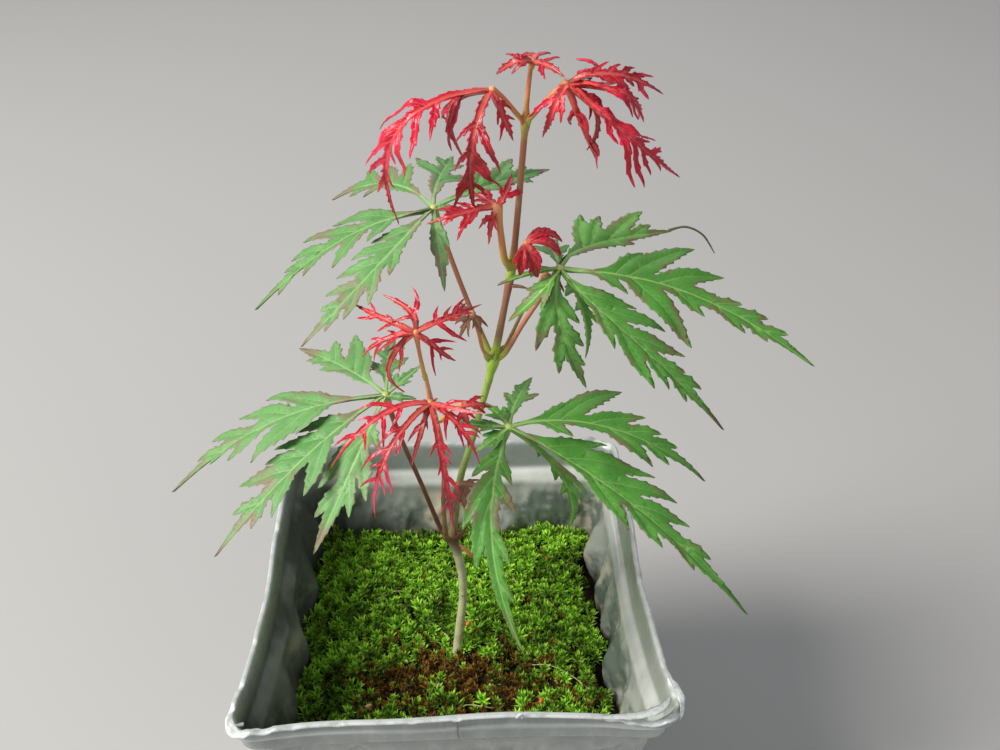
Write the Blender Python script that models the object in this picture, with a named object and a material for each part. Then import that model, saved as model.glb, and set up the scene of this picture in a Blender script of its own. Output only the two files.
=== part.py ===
"""Young cut-leaf Japanese maple growing in a square plastic nursery pot.

Units are metres, +Z is up and the origin is the middle of the pot's flat base.
Plant positions are written in millimetres measured from the middle of the pot's rim,
because everything in the plant is seen and measured against that rim.
"""

import math

import bmesh
import bpy
from mathutils import Vector

MM = 0.001
GAP = 0.3 * MM  # clearance kept between pieces that touch

# Driving dimensions of the pot
POT_WIDTH = 90 * MM
POT_HEIGHT = 88 * MM
POT_CORNER_RADIUS = 9 * MM
CORNER_TAPER = 0.4
WALL = 1.0 * MM
LIP_WIDTH = 2.1 * MM
BAND_HEIGHT = 8.5 * MM
LEDGE = 1.3 * MM
BASE_WIDTH = 72 * MM
FLOOR = 1.4 * MM
DRAIN_RADIUS = 1.8 * MM
DRAIN_SPACING = 21 * MM
FEED_CHANNEL_DEPTH = 0.7 * MM

# Driving dimensions of the filling
MOSS_TOP = POT_HEIGHT - 27 * MM
MOSS_THICKNESS = 4 * MM
MOSS_LUMP = 0.9 * MM
MOSS_EDGE_DROP = 1.2 * MM
SIDE_GAP = 0.5 * MM
FOOT_FILLET = 2.6 * MM

# Driving dimensions of the leaves
LEAF_THICKNESS = 0.5 * MM
GREEN_PETIOLE_RADIUS = 0.55 * MM
RED_PETIOLE_RADIUS = 0.45 * MM
GREEN_HUB_RADIUS = 0.95 * MM
RED_HUB_RADIUS = 0.75 * MM

CORNER_STEPS = 5
TUBE_SIDES = 8

# Main stem from the moss to the shoot tip: (x, y, z) in mm from the rim's middle, radius in mm.
# The swollen joints are where leaves are carried in pairs.
STEM = [
    ((0.0, -4.5, -28), 1.2),
    ((0.8, -3.2, -20), 1.1),
    ((1.8, -1.6, -11), 1.05),
    ((1.7, -0.6, -4), 1.05),
    ((0.8, 0, 2), 1.15),
    ((-0.2, 0, 7), 1.4),
    ((0.3, 0, 12), 1.1),
    ((2.0, 0, 25), 1.0),
    ((4.6, 0, 35), 1.0),
    ((6.9, 0, 45), 0.95),
    ((8.5, 0, 52), 1.05),
    ((9.3, 0, 56), 1.45),
    ((10.1, 0, 60), 1.0),
    ((11.6, 0, 69), 0.85),
    ((13.0, 0, 78), 1.15),
    ((13.6, 0, 84), 0.8),
    ((14.4, 0, 95), 0.8),
    ((15.0, 0, 104), 0.8),
    ((15.2, 0, 107), 1.05),
    ((15.4, 0, 111), 0.6),
    ((15.9, 0, 116.5), 0.5),
]

TAPROOT = [
    ((0.0, -4.5, -26), 1.2),
    ((-0.5, -4.2, -36), 1.3),
    ((0.9, -3.4, -48), 1.0),
    ((-0.4, -2.4, -62), 0.8),
    ((0.4, -2.0, -77), 0.5),
]
SIDE_ROOTS = [
    [((-0.3, -4.3, -34), 0.7), ((-9, -8, -38), 0.6), ((-19, -11, -47), 0.45)],
    [((0.0, -4.0, -39), 0.7), ((9, -9, -43), 0.6), ((18, -16, -54), 0.45)],
    [((0.6, -3.6, -45), 0.7), ((4, 6, -49), 0.6), ((6, 17, -58), 0.45)],
    [((0.2, -2.9, -55), 0.6), ((-8, 3, -59), 0.5), ((-15, 10, -68), 0.4)],
]

# The side shoot climbs from the lowest joint, in front of the main stem.
SIDE_SHOOT = [
    ((-1.6, -2.6, 9.5), 0.7),
    ((-1.8, -6, 23), 0.65),
    ((-1.2, -11, 40), 0.65),
    ((-2.0, -15.5, 52), 0.65),
    ((-3.0, -18.0, 59), 0.75),
    ((-3.6, -19.2, 65), 0.6),
]
# A second, finer shoot leaves the big joint and passes behind the right-hand leaf.
AXIL_SHOOT = [
    ((12.0, 1.9, 58.5), 0.45),
    ((15.5, 3.2, 66), 0.4),
    ((18.6, 3.8, 72), 0.4),
]

# Leaves: petiole points from the stem to the hub, then one row for each lobe that rays out
# from the hub: midway point, tip, half width (all mm) and number of pairs of side lobes.
GREEN_LEAVES = {
    "leaf_upper_left": (
        [(7.9, 1.4, 59.3), (4.0, 4.0, 69), (0.5, 6.4, 79), (-2, 8, 87)],
        [
            ((-18, 5, 85), (-36, -6, 73), 5.0, 3),
            ((-11, -7, 84), (-26, -19, 73), 5.0, 3),
            ((-1, 1, 83), (0, -4, 75), 2.2, 2),
            ((0, 7.4, 87), (3, 6.8, 87), 0.9, 1),
            ((9, 19, 86), (23, 37, 81), 4.0, 3),
            ((-1, 20, 87), (2, 38, 84), 4.5, 2),
            ((-12, 23, 85), (-25, 36, 75), 4.0, 3),
        ],
    ),
    "leaf_upper_right": (
        [(11.8, -1.2, 58.9), (15, -2.2, 66), (18.5, -3.2, 73), (22, -4, 80)],
        [
            ((46, -4, 75), (71, -13, 62), 5.5, 4),
            ((37, -17, 72), (51, -27, 58), 5.0, 4),
            ((24, -11, 71), (27, -13, 58), 3.0, 3),
            ((18, -8, 77), (12, -7, 70), 1.8, 1),
            ((16, -4.4, 79), (10, -3.4, 76), 0.9, 1),
            ((21, 3, 80), (20, 9, 80), 1.9, 1),
            ((31, 6, 79), (47, 17, 76), 5.0, 2),
            ((28, 3, 65), (29, 6, 52), 1.8, 2),
        ],
    ),
    "leaf_lower_left": (
        [(-2.7, 0.4, 9.0), (-6.5, -3, 26), (-10.5, -8, 45), (-12, -12, 57)],
        [
            ((-33, -12, 54), (-54, -21, 41), 4.5, 4),
            ((-28, -25, 51), (-44, -35, 37), 4.5, 4),
            ((-19, -28, 49), (-26, -33, 35), 3.8, 3),
            ((-21, -1, 56), (-32, 12, 52), 4.0, 2),
            ((-12, 1, 56), (-12, 17, 52), 3.0, 2),
            ((-9.5, -13, 57), (-6, -13.5, 57), 0.9, 1),
            ((-8.5, -7, 57), (-5, -2, 57), 1.2, 1),
        ],
    ),
    "leaf_lower_right": (
        [(1.7, -2.0, 9.6), (4.6, -6, 21), (9, -11, 38), (12, -14, 50)],
        [
            ((34, -30, 42), (56, -43, 26), 6.0, 4),
            ((34, -11, 48), (52, -16, 36), 5.0, 3),
            ((8, -31, 36), (14, -43, 16), 4.2, 4),
            ((14, -4, 49), (18, 8, 46), 2.6, 2),
            ((10, -10, 50), (7.2, -6, 50), 1.0, 1),
            ((7, -13.6, 50), (1.5, -12, 50), 1.2, 1),
            ((9, -16, 48.6), (5, -17, 46), 1.2, 1),
            ((24, -13, 34), (24.5, -13, 20), 1.8, 3),
        ],
    ),
}

# The young leaves are red to brown, small, and cut almost to the midribs.
YOUNG_LEAVES = {
    "young_leaf_shoot_low": (
        [(-3.2, -19.6, 60.4), (-3.0, -21.2, 61.6)],
        [
            ((-1, -29, 54), (1, -31, 36), 2.6, 3),
            ((-11, -31, 57), (-14, -31, 42), 1.9, 3),
            ((2.5, -26, 59), (6, -28, 52), 1.7, 2),
            ((2, -25.5, 63), (7, -28, 64), 1.4, 1),
            ((-13, -25, 61), (-22, -29, 52), 1.8, 2),
            ((-5, -25.5, 57), (-7, -26, 50), 1.1, 1),
        ],
    ),
    "young_leaf_shoot_high": (
        [(-3.9, -19.9, 66.4), (-4.6, -21, 71), (-5, -22, 78)],
        [
            ((-10, -20, 79), (-17, -12, 78), 1.2, 2),
            ((0, -20, 79), (7, -15, 79), 1.6, 3),
            ((-6, -20, 81), (-11, -16, 82), 1.3, 1),
            ((-11, -22, 76), (-15, -21, 72), 1.4, 2),
            ((-10, -23, 71), (-7.5, -24, 66), 1.1, 1),
            ((-1, -22.5, 74), (2, -20, 70), 1.6, 1),
        ],
    ),
    "young_leaf_top_left": (
        [(13.4, -0.6, 109.4), (11, -2.4, 113), (9, -4, 115)],
        [
            ((-7, -10, 110), (-8, -3, 89), 2.4, 4),
            ((2, -5, 112), (4, -1, 101), 1.7, 2),
            ((5.5, -11, 107), (6, -2.5, 91), 2.6, 3),
            ((10.5, -6, 112), (13, -3, 105), 2.0, 1),
        ],
    ),
    "young_leaf_top_right": (
        [(16.9, -1.2, 109.6), (19, -2.6, 112.8), (22, -4, 116)],
        [
            ((32, -11, 109), (43, -4, 98), 2.2, 4),
            ((28, -5, 117), (36, -2, 118), 1.8, 2),
            ((27, -3.5, 118.5), (24, -1, 121), 1.2, 1),
            ((25, -2, 108), (29, 4, 98), 1.8, 3),
            ((19.5, -8, 113), (18, -4, 106), 1.5, 1),
            ((27, -6, 111), (26, -3, 103), 1.4, 1),
            ((32, -6.5, 114.5), (35.5, 1, 107), 1.6, 2),
        ],
    ),
    "young_leaf_tip": (
        [(16.1, -0.2, 117.1), (16.3, -0.4, 118.4)],
        [
            ((13, -2.4, 119), (10, 1.6, 115.5), 1.3, 1),
            ((19, -4, 118.7), (21.5, -6.5, 117.6), 1.3, 1),
            ((17, 2, 119), (17.5, 5, 117), 0.9, 1),
        ],
    ),
    "young_leaf_joint_left": (
        [(11.4, -1.6, 81), (10.6, -2.8, 88), (10, -4, 93)],
        [
            ((3, -5, 92), (-3, -5, 90), 1.8, 2),
            ((8, -2, 93.5), (5, 0.5, 93.5), 1.3, 1),
            ((9, -4, 89), (8.4, -4, 85), 1.4, 1),
            ((11.5, -3.2, 95), (13, 3.4, 96), 1.1, 1),
        ],
    ),
    "young_leaf_joint_right": (
        [(14.4, -1.4, 80.2), (15, -3.4, 83.6), (15.4, -5, 86)],
        [
            ((17.5, -6, 85), (19.5, -5, 82), 1.5, 1),
            ((15.6, -6.6, 82), (14.6, -6.4, 77.5), 1.5, 1),
            ((17, -3.6, 86.6), (19, -1.6, 86.6), 1.1, 1),
        ],
    ),
    "young_leaf_petiole_side": (
        [(7.2, -2.0, 60.2), (6.2, -3.8, 66), (5, -5, 71)],
        [
            ((3.2, -4.4, 71), (1.4, -3.4, 70.6), 1.0, 1),
            ((4, -5, 68.6), (2.6, -5.6, 65.6), 1.3, 1),
            ((6, -5.6, 69), (7, -6.2, 66.6), 1.0, 1),
        ],
    ),
    "young_leaf_stem_front": (
        [(1.2, -13.0, 54.2), (2.8, -13.2, 55)],
        [
            ((5.4, -14, 55.4), (8.6, -13, 54), 1.3, 1),
            ((3.4, -14.4, 53), (4.4, -15, 50.6), 1.0, 1),
        ],
    ),
    "young_leaf_low_brown": (
        [(0.6, -1.5, 21), (1.2, -3.4, 25), (1.4, -5.6, 28)],
        [
            ((4.4, -6.4, 28.4), (8, -7.6, 28), 1.3, 1),
            ((2.6, -6.8, 24.6), (3.4, -8.2, 20), 1.3, 1),
            ((0.6, -7, 24), (-0.4, -8.6, 20.4), 1.1, 1),
        ],
    ),
    "young_leaf_axil": (
        [(19.2, 3.9, 73.4), (20, 3.6, 74.4)],
        [
            ((22, 2.0, 71.4), (22.6, 1.0, 68), 1.2, 1),
            ((19.4, 1.6, 71.4), (18, 0.8, 69), 1.1, 1),
        ],
    ),
}

COLOURS = {
    "pot": ((0.62, 0.64, 0.61), 0.45),
    "soil": ((0.11, 0.07, 0.045), 0.95),
    "moss": ((0.17, 0.40, 0.04), 0.9),
    "stem": ((0.36, 0.37, 0.17), 0.55),
    "green_leaf": ((0.22, 0.50, 0.15), 0.5),
    "young_leaf": ((0.66, 0.05, 0.08), 0.45),
    "brown_leaf": ((0.30, 0.13, 0.08), 0.6),
}
BROWN_LEAVES = {"young_leaf_petiole_side", "young_leaf_low_brown", "young_leaf_axil"}


def clear_scene():
    """Empty the scene of everything that is in it."""
    for obj in list(bpy.data.objects):
        bpy.data.objects.remove(obj, do_unlink=True)


def from_rim(x, y, z):
    """A place in the plant, given in millimetres from the middle of the rim."""
    return Vector((x, y, z)) * MM + Vector((0, 0, POT_HEIGHT))


def material(name, colour_name):
    """Principled material in one of the object's plain colours."""
    colour, roughness = COLOURS[colour_name]
    made = bpy.data.materials.new(name)
    made.use_nodes = True
    shader = made.node_tree.nodes["Principled BSDF"]
    shader.inputs["Base Color"].default_value = (*colour, 1)
    shader.inputs["Roughness"].default_value = roughness
    shader.inputs["Metallic"].default_value = 0
    return made


def add_object(name, mesh_maker, colour_name=None, sharp_angle=40):
    """A mesh object from a bmesh, with outward faces and smooth shading."""
    bmesh.ops.recalc_face_normals(mesh_maker, faces=mesh_maker.faces)
    mesh = bpy.data.meshes.new(name)
    mesh_maker.to_mesh(mesh)
    mesh_maker.free()
    mesh.shade_smooth()
    mesh.set_sharp_from_angle(angle=math.radians(sharp_angle))
    obj = bpy.data.objects.new(name, mesh)
    bpy.context.scene.collection.objects.link(obj)
    if colour_name:
        mesh.materials.append(material(name, colour_name))
    return obj


def as_helper(obj):
    """Mark an object as a tool for Booleans, which isn't a piece itself."""
    obj.hide_render = True
    obj.display_type = "WIRE"
    return obj


def boolean(obj, helper, operation):
    """Cut a helper from an object or join it on."""
    as_helper(helper)
    step = obj.modifiers.new(helper.name, "BOOLEAN")
    step.operation = operation
    step.solver = "EXACT"
    step.object = helper


def bridge(mesh_maker, lower, upper):
    """Side faces between two rings of the same number of points."""
    count = len(lower)
    for i in range(count):
        j = (i + 1) % count
        mesh_maker.faces.new((lower[i], lower[j], upper[j], upper[i]))


def corner_radius(half):
    """The corners get tighter towards the narrow base."""
    return POT_CORNER_RADIUS - (POT_WIDTH / 2 - half) * CORNER_TAPER


def square_ring(mesh_maker, half, height):
    """A square with round corners, as one ring of points."""
    ring = []
    radius = corner_radius(half)
    middle = half - radius
    for corner in range(4):
        for step in range(CORNER_STEPS):
            angle = math.radians(90 * (corner + step / (CORNER_STEPS - 1)))
            side_x = 1 if corner in (0, 3) else -1
            side_y = 1 if corner in (0, 1) else -1
            x = side_x * middle + radius * math.cos(angle)
            y = side_y * middle + radius * math.sin(angle)
            ring.append(mesh_maker.verts.new((x, y, height)))
    return ring


def inner_half(height):
    """Half width of the pot's inside below the ledge: the walls lean outwards."""
    top = POT_HEIGHT - BAND_HEIGHT
    top_half = POT_WIDTH / 2 - LIP_WIDTH - LEDGE - WALL
    bottom_half = BASE_WIDTH / 2 - WALL
    return bottom_half + (top_half - bottom_half) * (height - FLOOR) / (top - FLOOR)


def make_pot():
    """Thin square pot: lip, rim band, ledge, leaning walls and a drained floor."""
    top = POT_HEIGHT
    band = top - BAND_HEIGHT
    lip = POT_WIDTH / 2
    band_half = lip - 1.1 * MM
    wall_top = inner_half(band)
    profile = [
        (BASE_WIDTH / 2 - 1.6 * MM, 0),
        (BASE_WIDTH / 2 - 0.4 * MM, 0.5 * MM),
        (BASE_WIDTH / 2, 1.8 * MM),
        (wall_top + WALL, band - 1.4 * MM),
        (band_half - 0.5 * MM, band),
        (band_half, band + 5.6 * MM),
        (lip - 0.2 * MM, top - 2.0 * MM),
        (lip, top - 1.2 * MM),
        (lip - 0.1 * MM, top - 0.2 * MM),
        (lip - 0.5 * MM, top),
        (lip - LIP_WIDTH + 0.4 * MM, top),
        (lip - LIP_WIDTH, top - 0.5 * MM),
        (lip - LIP_WIDTH - 0.5 * MM, band + 1.2 * MM),
        (wall_top + 0.2 * MM, band + 0.5 * MM),
        (wall_top, band - 0.2 * MM),
        (inner_half(FLOOR + 2 * MM), FLOOR + 2 * MM),
        (inner_half(FLOOR) - 1.5 * MM, FLOOR),
    ]
    shell = bmesh.new()
    rings = []
    for half, height in profile:
        rings.append(square_ring(shell, half, height))
    for lower, upper in zip(rings, rings[1:]):
        bridge(shell, lower, upper)
    shell.faces.new(rings[0])
    shell.faces.new(rings[-1])
    pot = add_object("pot", shell, "pot")
    for index, (x, y) in enumerate(drain_places()):
        drain = bmesh.new()
        bmesh.ops.create_cone(
            drain, cap_ends=True, segments=12,
            radius1=DRAIN_RADIUS, radius2=DRAIN_RADIUS, depth=4 * FLOOR,
        )
        hole = add_object(f"drain_cutter_{index}", drain)
        hole.location = (x, y, 0)
        boolean(pot, hole, "DIFFERENCE")
    for index in range(4):
        channel = bmesh.new()
        bmesh.ops.create_cube(channel, size=1)
        bmesh.ops.scale(channel, vec=(30 * MM, 5 * MM, 2 * FEED_CHANNEL_DEPTH), verts=channel.verts)
        cutter = add_object(f"channel_cutter_{index}", channel)
        cutter.rotation_euler.z = math.radians(90 * index)
        cutter.location = Vector((27 * MM, 0, 0))
        cutter.location.rotate(cutter.rotation_euler)
        boolean(pot, cutter, "DIFFERENCE")
    return pot


def drain_places():
    """Two small drain holes beside each corner of the floor."""
    near = DRAIN_SPACING
    far = DRAIN_SPACING * 0.55
    for side_x in (-1, 1):
        for side_y in (-1, 1):
            yield side_x * near, side_y * far
            yield side_x * far, side_y * near


def moss_height(x, y):
    """The moss grows in low cushions, and is highest towards the back."""
    wave = math.sin(x * 190 + 0.6) * math.cos(y * 170 - 0.4) + 0.6 * math.sin(x * 330 - y * 290)
    return MOSS_TOP + MOSS_LUMP * 0.6 * wave + 0.02 * y


def make_soil(low, high):
    """The block of potting soil, with a rounded foot that clears the pot's floor."""
    block = bmesh.new()
    foot_height = low + FOOT_FILLET
    foot = square_ring(block, inner_half(low) - FOOT_FILLET, low)
    side = square_ring(block, inner_half(foot_height) - SIDE_GAP, foot_height)
    top = square_ring(block, inner_half(high) - SIDE_GAP, high)
    bridge(block, foot, side)
    bridge(block, side, top)
    block.faces.new(foot)
    block.faces.new(top)
    return add_object("soil", block, "soil")


def make_moss(low, high):
    """The carpet of moss: flat underneath, with low cushions on top."""
    slab = bmesh.new()
    bottom = square_ring(slab, inner_half(low) - SIDE_GAP, low)
    outer = square_ring(slab, inner_half(high) - SIDE_GAP, high)
    top = outer
    bridge(slab, bottom, top)
    slab.faces.new(bottom)
    for fraction in (0.9, 0.7, 0.5, 0.3, 0.12):
        inner = []
        for corner in top:
            x = corner.co.x * fraction
            y = corner.co.y * fraction
            inner.append(slab.verts.new((x, y, moss_height(x, y))))
        bridge(slab, outer, inner)
        outer = inner
    slab.faces.new(outer)
    return add_object("moss", slab, "moss")


def tube(name, points, colour_name=None, grow=0.0):
    """A round stalk through the given points and radii, with closed ends.

    The route runs on a smooth curve through the points. With grow, the tube is that much
    fatter and longer, to cut the room that a stalk needs in a neighbour.
    """
    places = [from_rim(*place) for place, radius in points]
    radii = [radius * MM for place, radius in points]
    route, widths = smooth_route(places, radii)
    if grow:
        route[0] = route[0] - (route[1] - route[0]).normalized() * grow
        route[-1] = route[-1] + (route[-1] - route[-2]).normalized() * grow
    maker = bmesh.new()
    rings = []
    across = Vector((1, 0, 0))
    for i, centre in enumerate(route):
        ahead = route[min(i + 1, len(route) - 1)]
        behind = route[max(i - 1, 0)]
        along = (ahead - behind).normalized()
        across = (across - along * across.dot(along)).normalized()
        up = along.cross(across)
        ring = []
        for side in range(TUBE_SIDES):
            angle = 2 * math.pi * side / TUBE_SIDES
            offset = across * math.cos(angle) + up * math.sin(angle)
            ring.append(maker.verts.new(centre + offset * (widths[i] + grow)))
        rings.append(ring)
    for lower, upper in zip(rings, rings[1:]):
        bridge(maker, lower, upper)
    maker.faces.new(rings[0])
    maker.faces.new(rings[-1])
    return add_object(name, maker, colour_name)


def smooth_route(places, radii):
    """Points and radii along a Catmull-Rom curve through the given ones."""
    route = []
    widths = []
    last = len(places) - 1
    for i in range(last):
        before = places[max(i - 1, 0)]
        after = places[min(i + 2, last)]
        length = (places[i + 1] - places[i]).length
        steps = 2 if length > 5 * MM else 1
        for step in range(steps):
            t = step / steps
            route.append(catmull(before, places[i], places[i + 1], after, t))
            widths.append(radii[i] + (radii[i + 1] - radii[i]) * t)
    route.append(places[-1])
    widths.append(radii[-1])
    return route, widths


def catmull(a, b, c, d, t):
    """A point between b and c on the smooth curve through a, b, c and d."""
    linear = (c - a) * t
    square = (a * 2 - b * 5 + c * 4 - d) * t * t
    cube = (b * 3 - a - c * 3 + d) * t * t * t
    return b + (linear + square + cube) / 2


def lobe_route(hub, middle, tip, t):
    """A point on the midrib, which starts at the hub and passes its midway point."""
    start = hub * (1 - t) * (1 - 2 * t)
    half = middle * 4 * t * (1 - t)
    end = tip * t * (2 * t - 1)
    return start + half + end


def make_lobe(name, hub, middle, tip, half_width, pairs):
    """One narrow lobe of a leaf, widest in its outer half, with forward-pointing side lobes.

    The blade is thickest along its midrib and thins out to both edges.
    """
    maker = bmesh.new()
    stalk = 0.22 if pairs > 1 else 0.1
    stations = [(-0.04, 0.25, 0), (stalk, 0.18, 0)]
    step = (0.94 - stalk) / (pairs + 0.6)
    for pair in range(pairs):
        t = stalk + step * (pair + 0.5)
        width = math.sin(math.pi * (0.35 + 0.5 * (pair + 1) / (pairs + 1)))
        stations.append((t, width, step * 0.75))
        stations.append((t + step * 0.5, 0.38 * width, 0))
    stations.append((0.97, 0.1, 0))
    rows = []
    length = (middle - hub).length + (tip - middle).length
    for t, width, forward in stations:
        centre = lobe_route(hub, middle, tip, t)
        along = (lobe_route(hub, middle, tip, t + 0.02) - centre).normalized()
        level = along.cross(Vector((0, 0, 1)))
        if level.length < 0.3:
            level = Vector((1, 0, 0)) - along * along.x
        level.normalize()
        up = level.cross(along)
        edge = level * max(width * half_width, 0.3 * MM)
        lean = along * forward * length
        thick = up * LEAF_THICKNESS / 2
        left = maker.verts.new(centre - edge + lean)
        right = maker.verts.new(centre + edge + lean)
        rows.append((left, maker.verts.new(centre + thick), right, maker.verts.new(centre - thick)))
    for (l0, t0, r0, b0), (l1, t1, r1, b1) in zip(rows, rows[1:]):
        for a, b, c in (
            (l0, l1, t0), (l1, t1, t0), (t0, t1, r1), (t0, r1, r0),
            (l0, b0, l1), (l1, b0, b1), (b0, r1, b1), (b0, r0, r1),
        ):
            maker.faces.new((a, b, c))
    maker.faces.new(rows[0])
    point = maker.verts.new(tip)
    left, top, right, bottom = rows[-1]
    for a, b in ((left, top), (top, right), (right, bottom), (bottom, left)):
        maker.faces.new((a, b, point))
    return add_object(name, maker)


def make_leaf(name, petiole, lobes, green):
    """A petiole with its hand of lobes, joined into one body at the hub."""
    radius = GREEN_PETIOLE_RADIUS if green else RED_PETIOLE_RADIUS
    colour = "green_leaf" if green else "young_leaf"
    if name in BROWN_LEAVES:
        colour = "brown_leaf"
    points = [(place, radius / MM) for place in petiole]
    leaf = tube(name, points, colour)
    hub = from_rim(*petiole[-1])
    ball = bmesh.new()
    bmesh.ops.create_icosphere(
        ball, subdivisions=1, radius=GREEN_HUB_RADIUS if green else RED_HUB_RADIUS
    )
    knot = add_object(f"{name}_hub", ball)
    knot.location = hub
    boolean(leaf, knot, "UNION")
    for index, (middle, tip, half_width, pairs) in enumerate(lobes):
        lobe = make_lobe(
            f"{name}_lobe_{index}", hub, from_rim(*middle), from_rim(*tip),
            half_width * MM, pairs,
        )
        boolean(leaf, lobe, "UNION")
    return leaf


def make_stem():
    """The main stem with its taproot and side roots, grown as one piece."""
    stem = tube("main_stem", STEM, "stem")
    boolean(stem, tube("taproot", TAPROOT), "UNION")
    for index, route in enumerate(SIDE_ROOTS):
        boolean(stem, tube(f"side_root_{index}", route), "UNION")
    return stem


def make_room_for_roots(obj, label):
    """Cut the room for the stem and roots, a little larger than they are."""
    for index, route in enumerate([STEM[:3], TAPROOT, *SIDE_ROOTS]):
        boolean(obj, tube(f"{label}_cutter_{index}", route, grow=GAP + 0.05 * MM), "DIFFERENCE")


def build():
    """Make every piece of the potted tree."""
    clear_scene()
    make_pot()
    moss_floor = MOSS_TOP - MOSS_THICKNESS
    soil = make_soil(FLOOR + GAP, moss_floor - GAP)
    make_room_for_roots(soil, "soil")
    moss = make_moss(moss_floor, MOSS_TOP - MOSS_EDGE_DROP)
    make_room_for_roots(moss, "moss")
    make_stem()
    tube("side_shoot", SIDE_SHOOT, "stem")
    tube("axil_shoot", AXIL_SHOOT, "stem")
    for name, (petiole, lobes) in GREEN_LEAVES.items():
        make_leaf(name, petiole, lobes, green=True)
    for name, (petiole, lobes) in YOUNG_LEAVES.items():
        make_leaf(name, petiole, lobes, green=False)


build()
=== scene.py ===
import math
import random

import bmesh
import bpy
import numpy as np
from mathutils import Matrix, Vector, noise
from mathutils.geometry import delaunay_2d_cdt


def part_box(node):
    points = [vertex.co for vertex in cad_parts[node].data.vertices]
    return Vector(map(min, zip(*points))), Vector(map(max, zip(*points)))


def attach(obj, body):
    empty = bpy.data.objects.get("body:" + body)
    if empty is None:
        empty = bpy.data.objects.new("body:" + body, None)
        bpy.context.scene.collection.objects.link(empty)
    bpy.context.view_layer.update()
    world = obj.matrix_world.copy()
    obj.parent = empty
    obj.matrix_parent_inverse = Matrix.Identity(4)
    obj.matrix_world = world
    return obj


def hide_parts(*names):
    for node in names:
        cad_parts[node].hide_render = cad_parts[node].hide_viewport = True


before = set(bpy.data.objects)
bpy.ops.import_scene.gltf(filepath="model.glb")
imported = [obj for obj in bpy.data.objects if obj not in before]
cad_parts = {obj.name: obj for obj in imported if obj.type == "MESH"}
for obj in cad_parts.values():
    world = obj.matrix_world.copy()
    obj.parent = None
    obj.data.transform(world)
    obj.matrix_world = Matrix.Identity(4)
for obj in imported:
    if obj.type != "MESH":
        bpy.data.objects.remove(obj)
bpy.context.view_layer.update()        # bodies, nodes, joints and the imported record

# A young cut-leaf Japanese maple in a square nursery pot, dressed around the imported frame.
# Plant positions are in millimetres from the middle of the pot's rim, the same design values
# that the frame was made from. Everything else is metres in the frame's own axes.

BODY = "root"
MM = 0.001

POT_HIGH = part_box("pot")[1]
MOSS_LOW, MOSS_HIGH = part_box("moss")
RIM_HEIGHT = POT_HIGH.z
RIM_HALF = POT_HIGH.x

# ---------------------------------------------------------------------------
# Design values of the plant, repeated from the frame
# ---------------------------------------------------------------------------

# Main stem: (x, y, z) in mm from the rim's middle, and radius in mm
STEM = [
    ((-0.2, -4.9, -33), 1.3),
    ((0.0, -4.5, -28), 1.2),
    ((0.8, -3.2, -20), 1.05),
    ((1.8, -1.6, -11), 0.95),
    ((1.7, -0.6, -4), 1.0),
    ((0.8, 0, 2), 1.1),
    ((-0.2, 0, 7), 1.35),
    ((0.3, 0, 12), 0.9),
    ((2.0, 0, 25), 0.78),
    ((4.6, 0, 35), 0.72),
    ((6.9, 0, 45), 0.72),
    ((8.5, 0, 52), 0.85),
    ((9.3, 0, 56), 1.35),
    ((10.1, 0, 60), 0.8),
    ((11.6, 0, 69), 0.68),
    ((13.0, 0, 78), 0.95),
    ((13.6, 0, 84), 0.64),
    ((14.4, 0, 95), 0.6),
    ((15.0, 0, 104), 0.6),
    ((15.2, 0, 107), 0.9),
    ((15.4, 0, 111), 0.46),
    ((15.9, 0, 116.5), 0.42),
    ((16.1, -0.2, 118.6), 0.4),
]
SIDE_SHOOT = [
    ((-0.6, -0.6, 7.6), 0.8),
    ((-1.6, -2.6, 9.5), 0.65),
    ((-1.8, -6, 23), 0.5),
    ((-1.2, -11, 40), 0.42),
    ((-2.0, -15.5, 52), 0.4),
    ((-3.0, -18.0, 59), 0.62),
    ((-3.6, -19.2, 65), 0.42),
    ((-3.9, -19.9, 67), 0.5),
]
AXIL_SHOOT = [
    ((9.9, 0.6, 56.4), 0.5),
    ((12.0, 1.9, 58.5), 0.4),
    ((15.5, 3.2, 66), 0.35),
    ((18.6, 3.8, 72), 0.35),
    ((19.6, 3.7, 74.2), 0.35),
]

# Leaves: petiole points from the stem to the hub, then for each lobe its midway point and
# tip (mm) and half the width of its body (mm). A lobe may be rolled about its midrib
# (degrees), bowed sideways (mm, and where along it) and cut: each cut is a side lobe, as where
# it leaves the midrib (share of the length), its length (mm) and angle (degrees, + to the
# left seen from above looking out).


def lobe(middle, tip, half_width, cuts=None, roll=0, bow=0.0, bow_at=0.4, pairs=2):
    """One lobe's row. With no cuts listed it grows as many pairs of even ones as it is given."""
    return {"middle": middle, "tip": tip, "half_width": half_width, "cuts": cuts,
            "roll": roll, "bow": bow, "bow_at": bow_at, "pairs": pairs}


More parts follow.
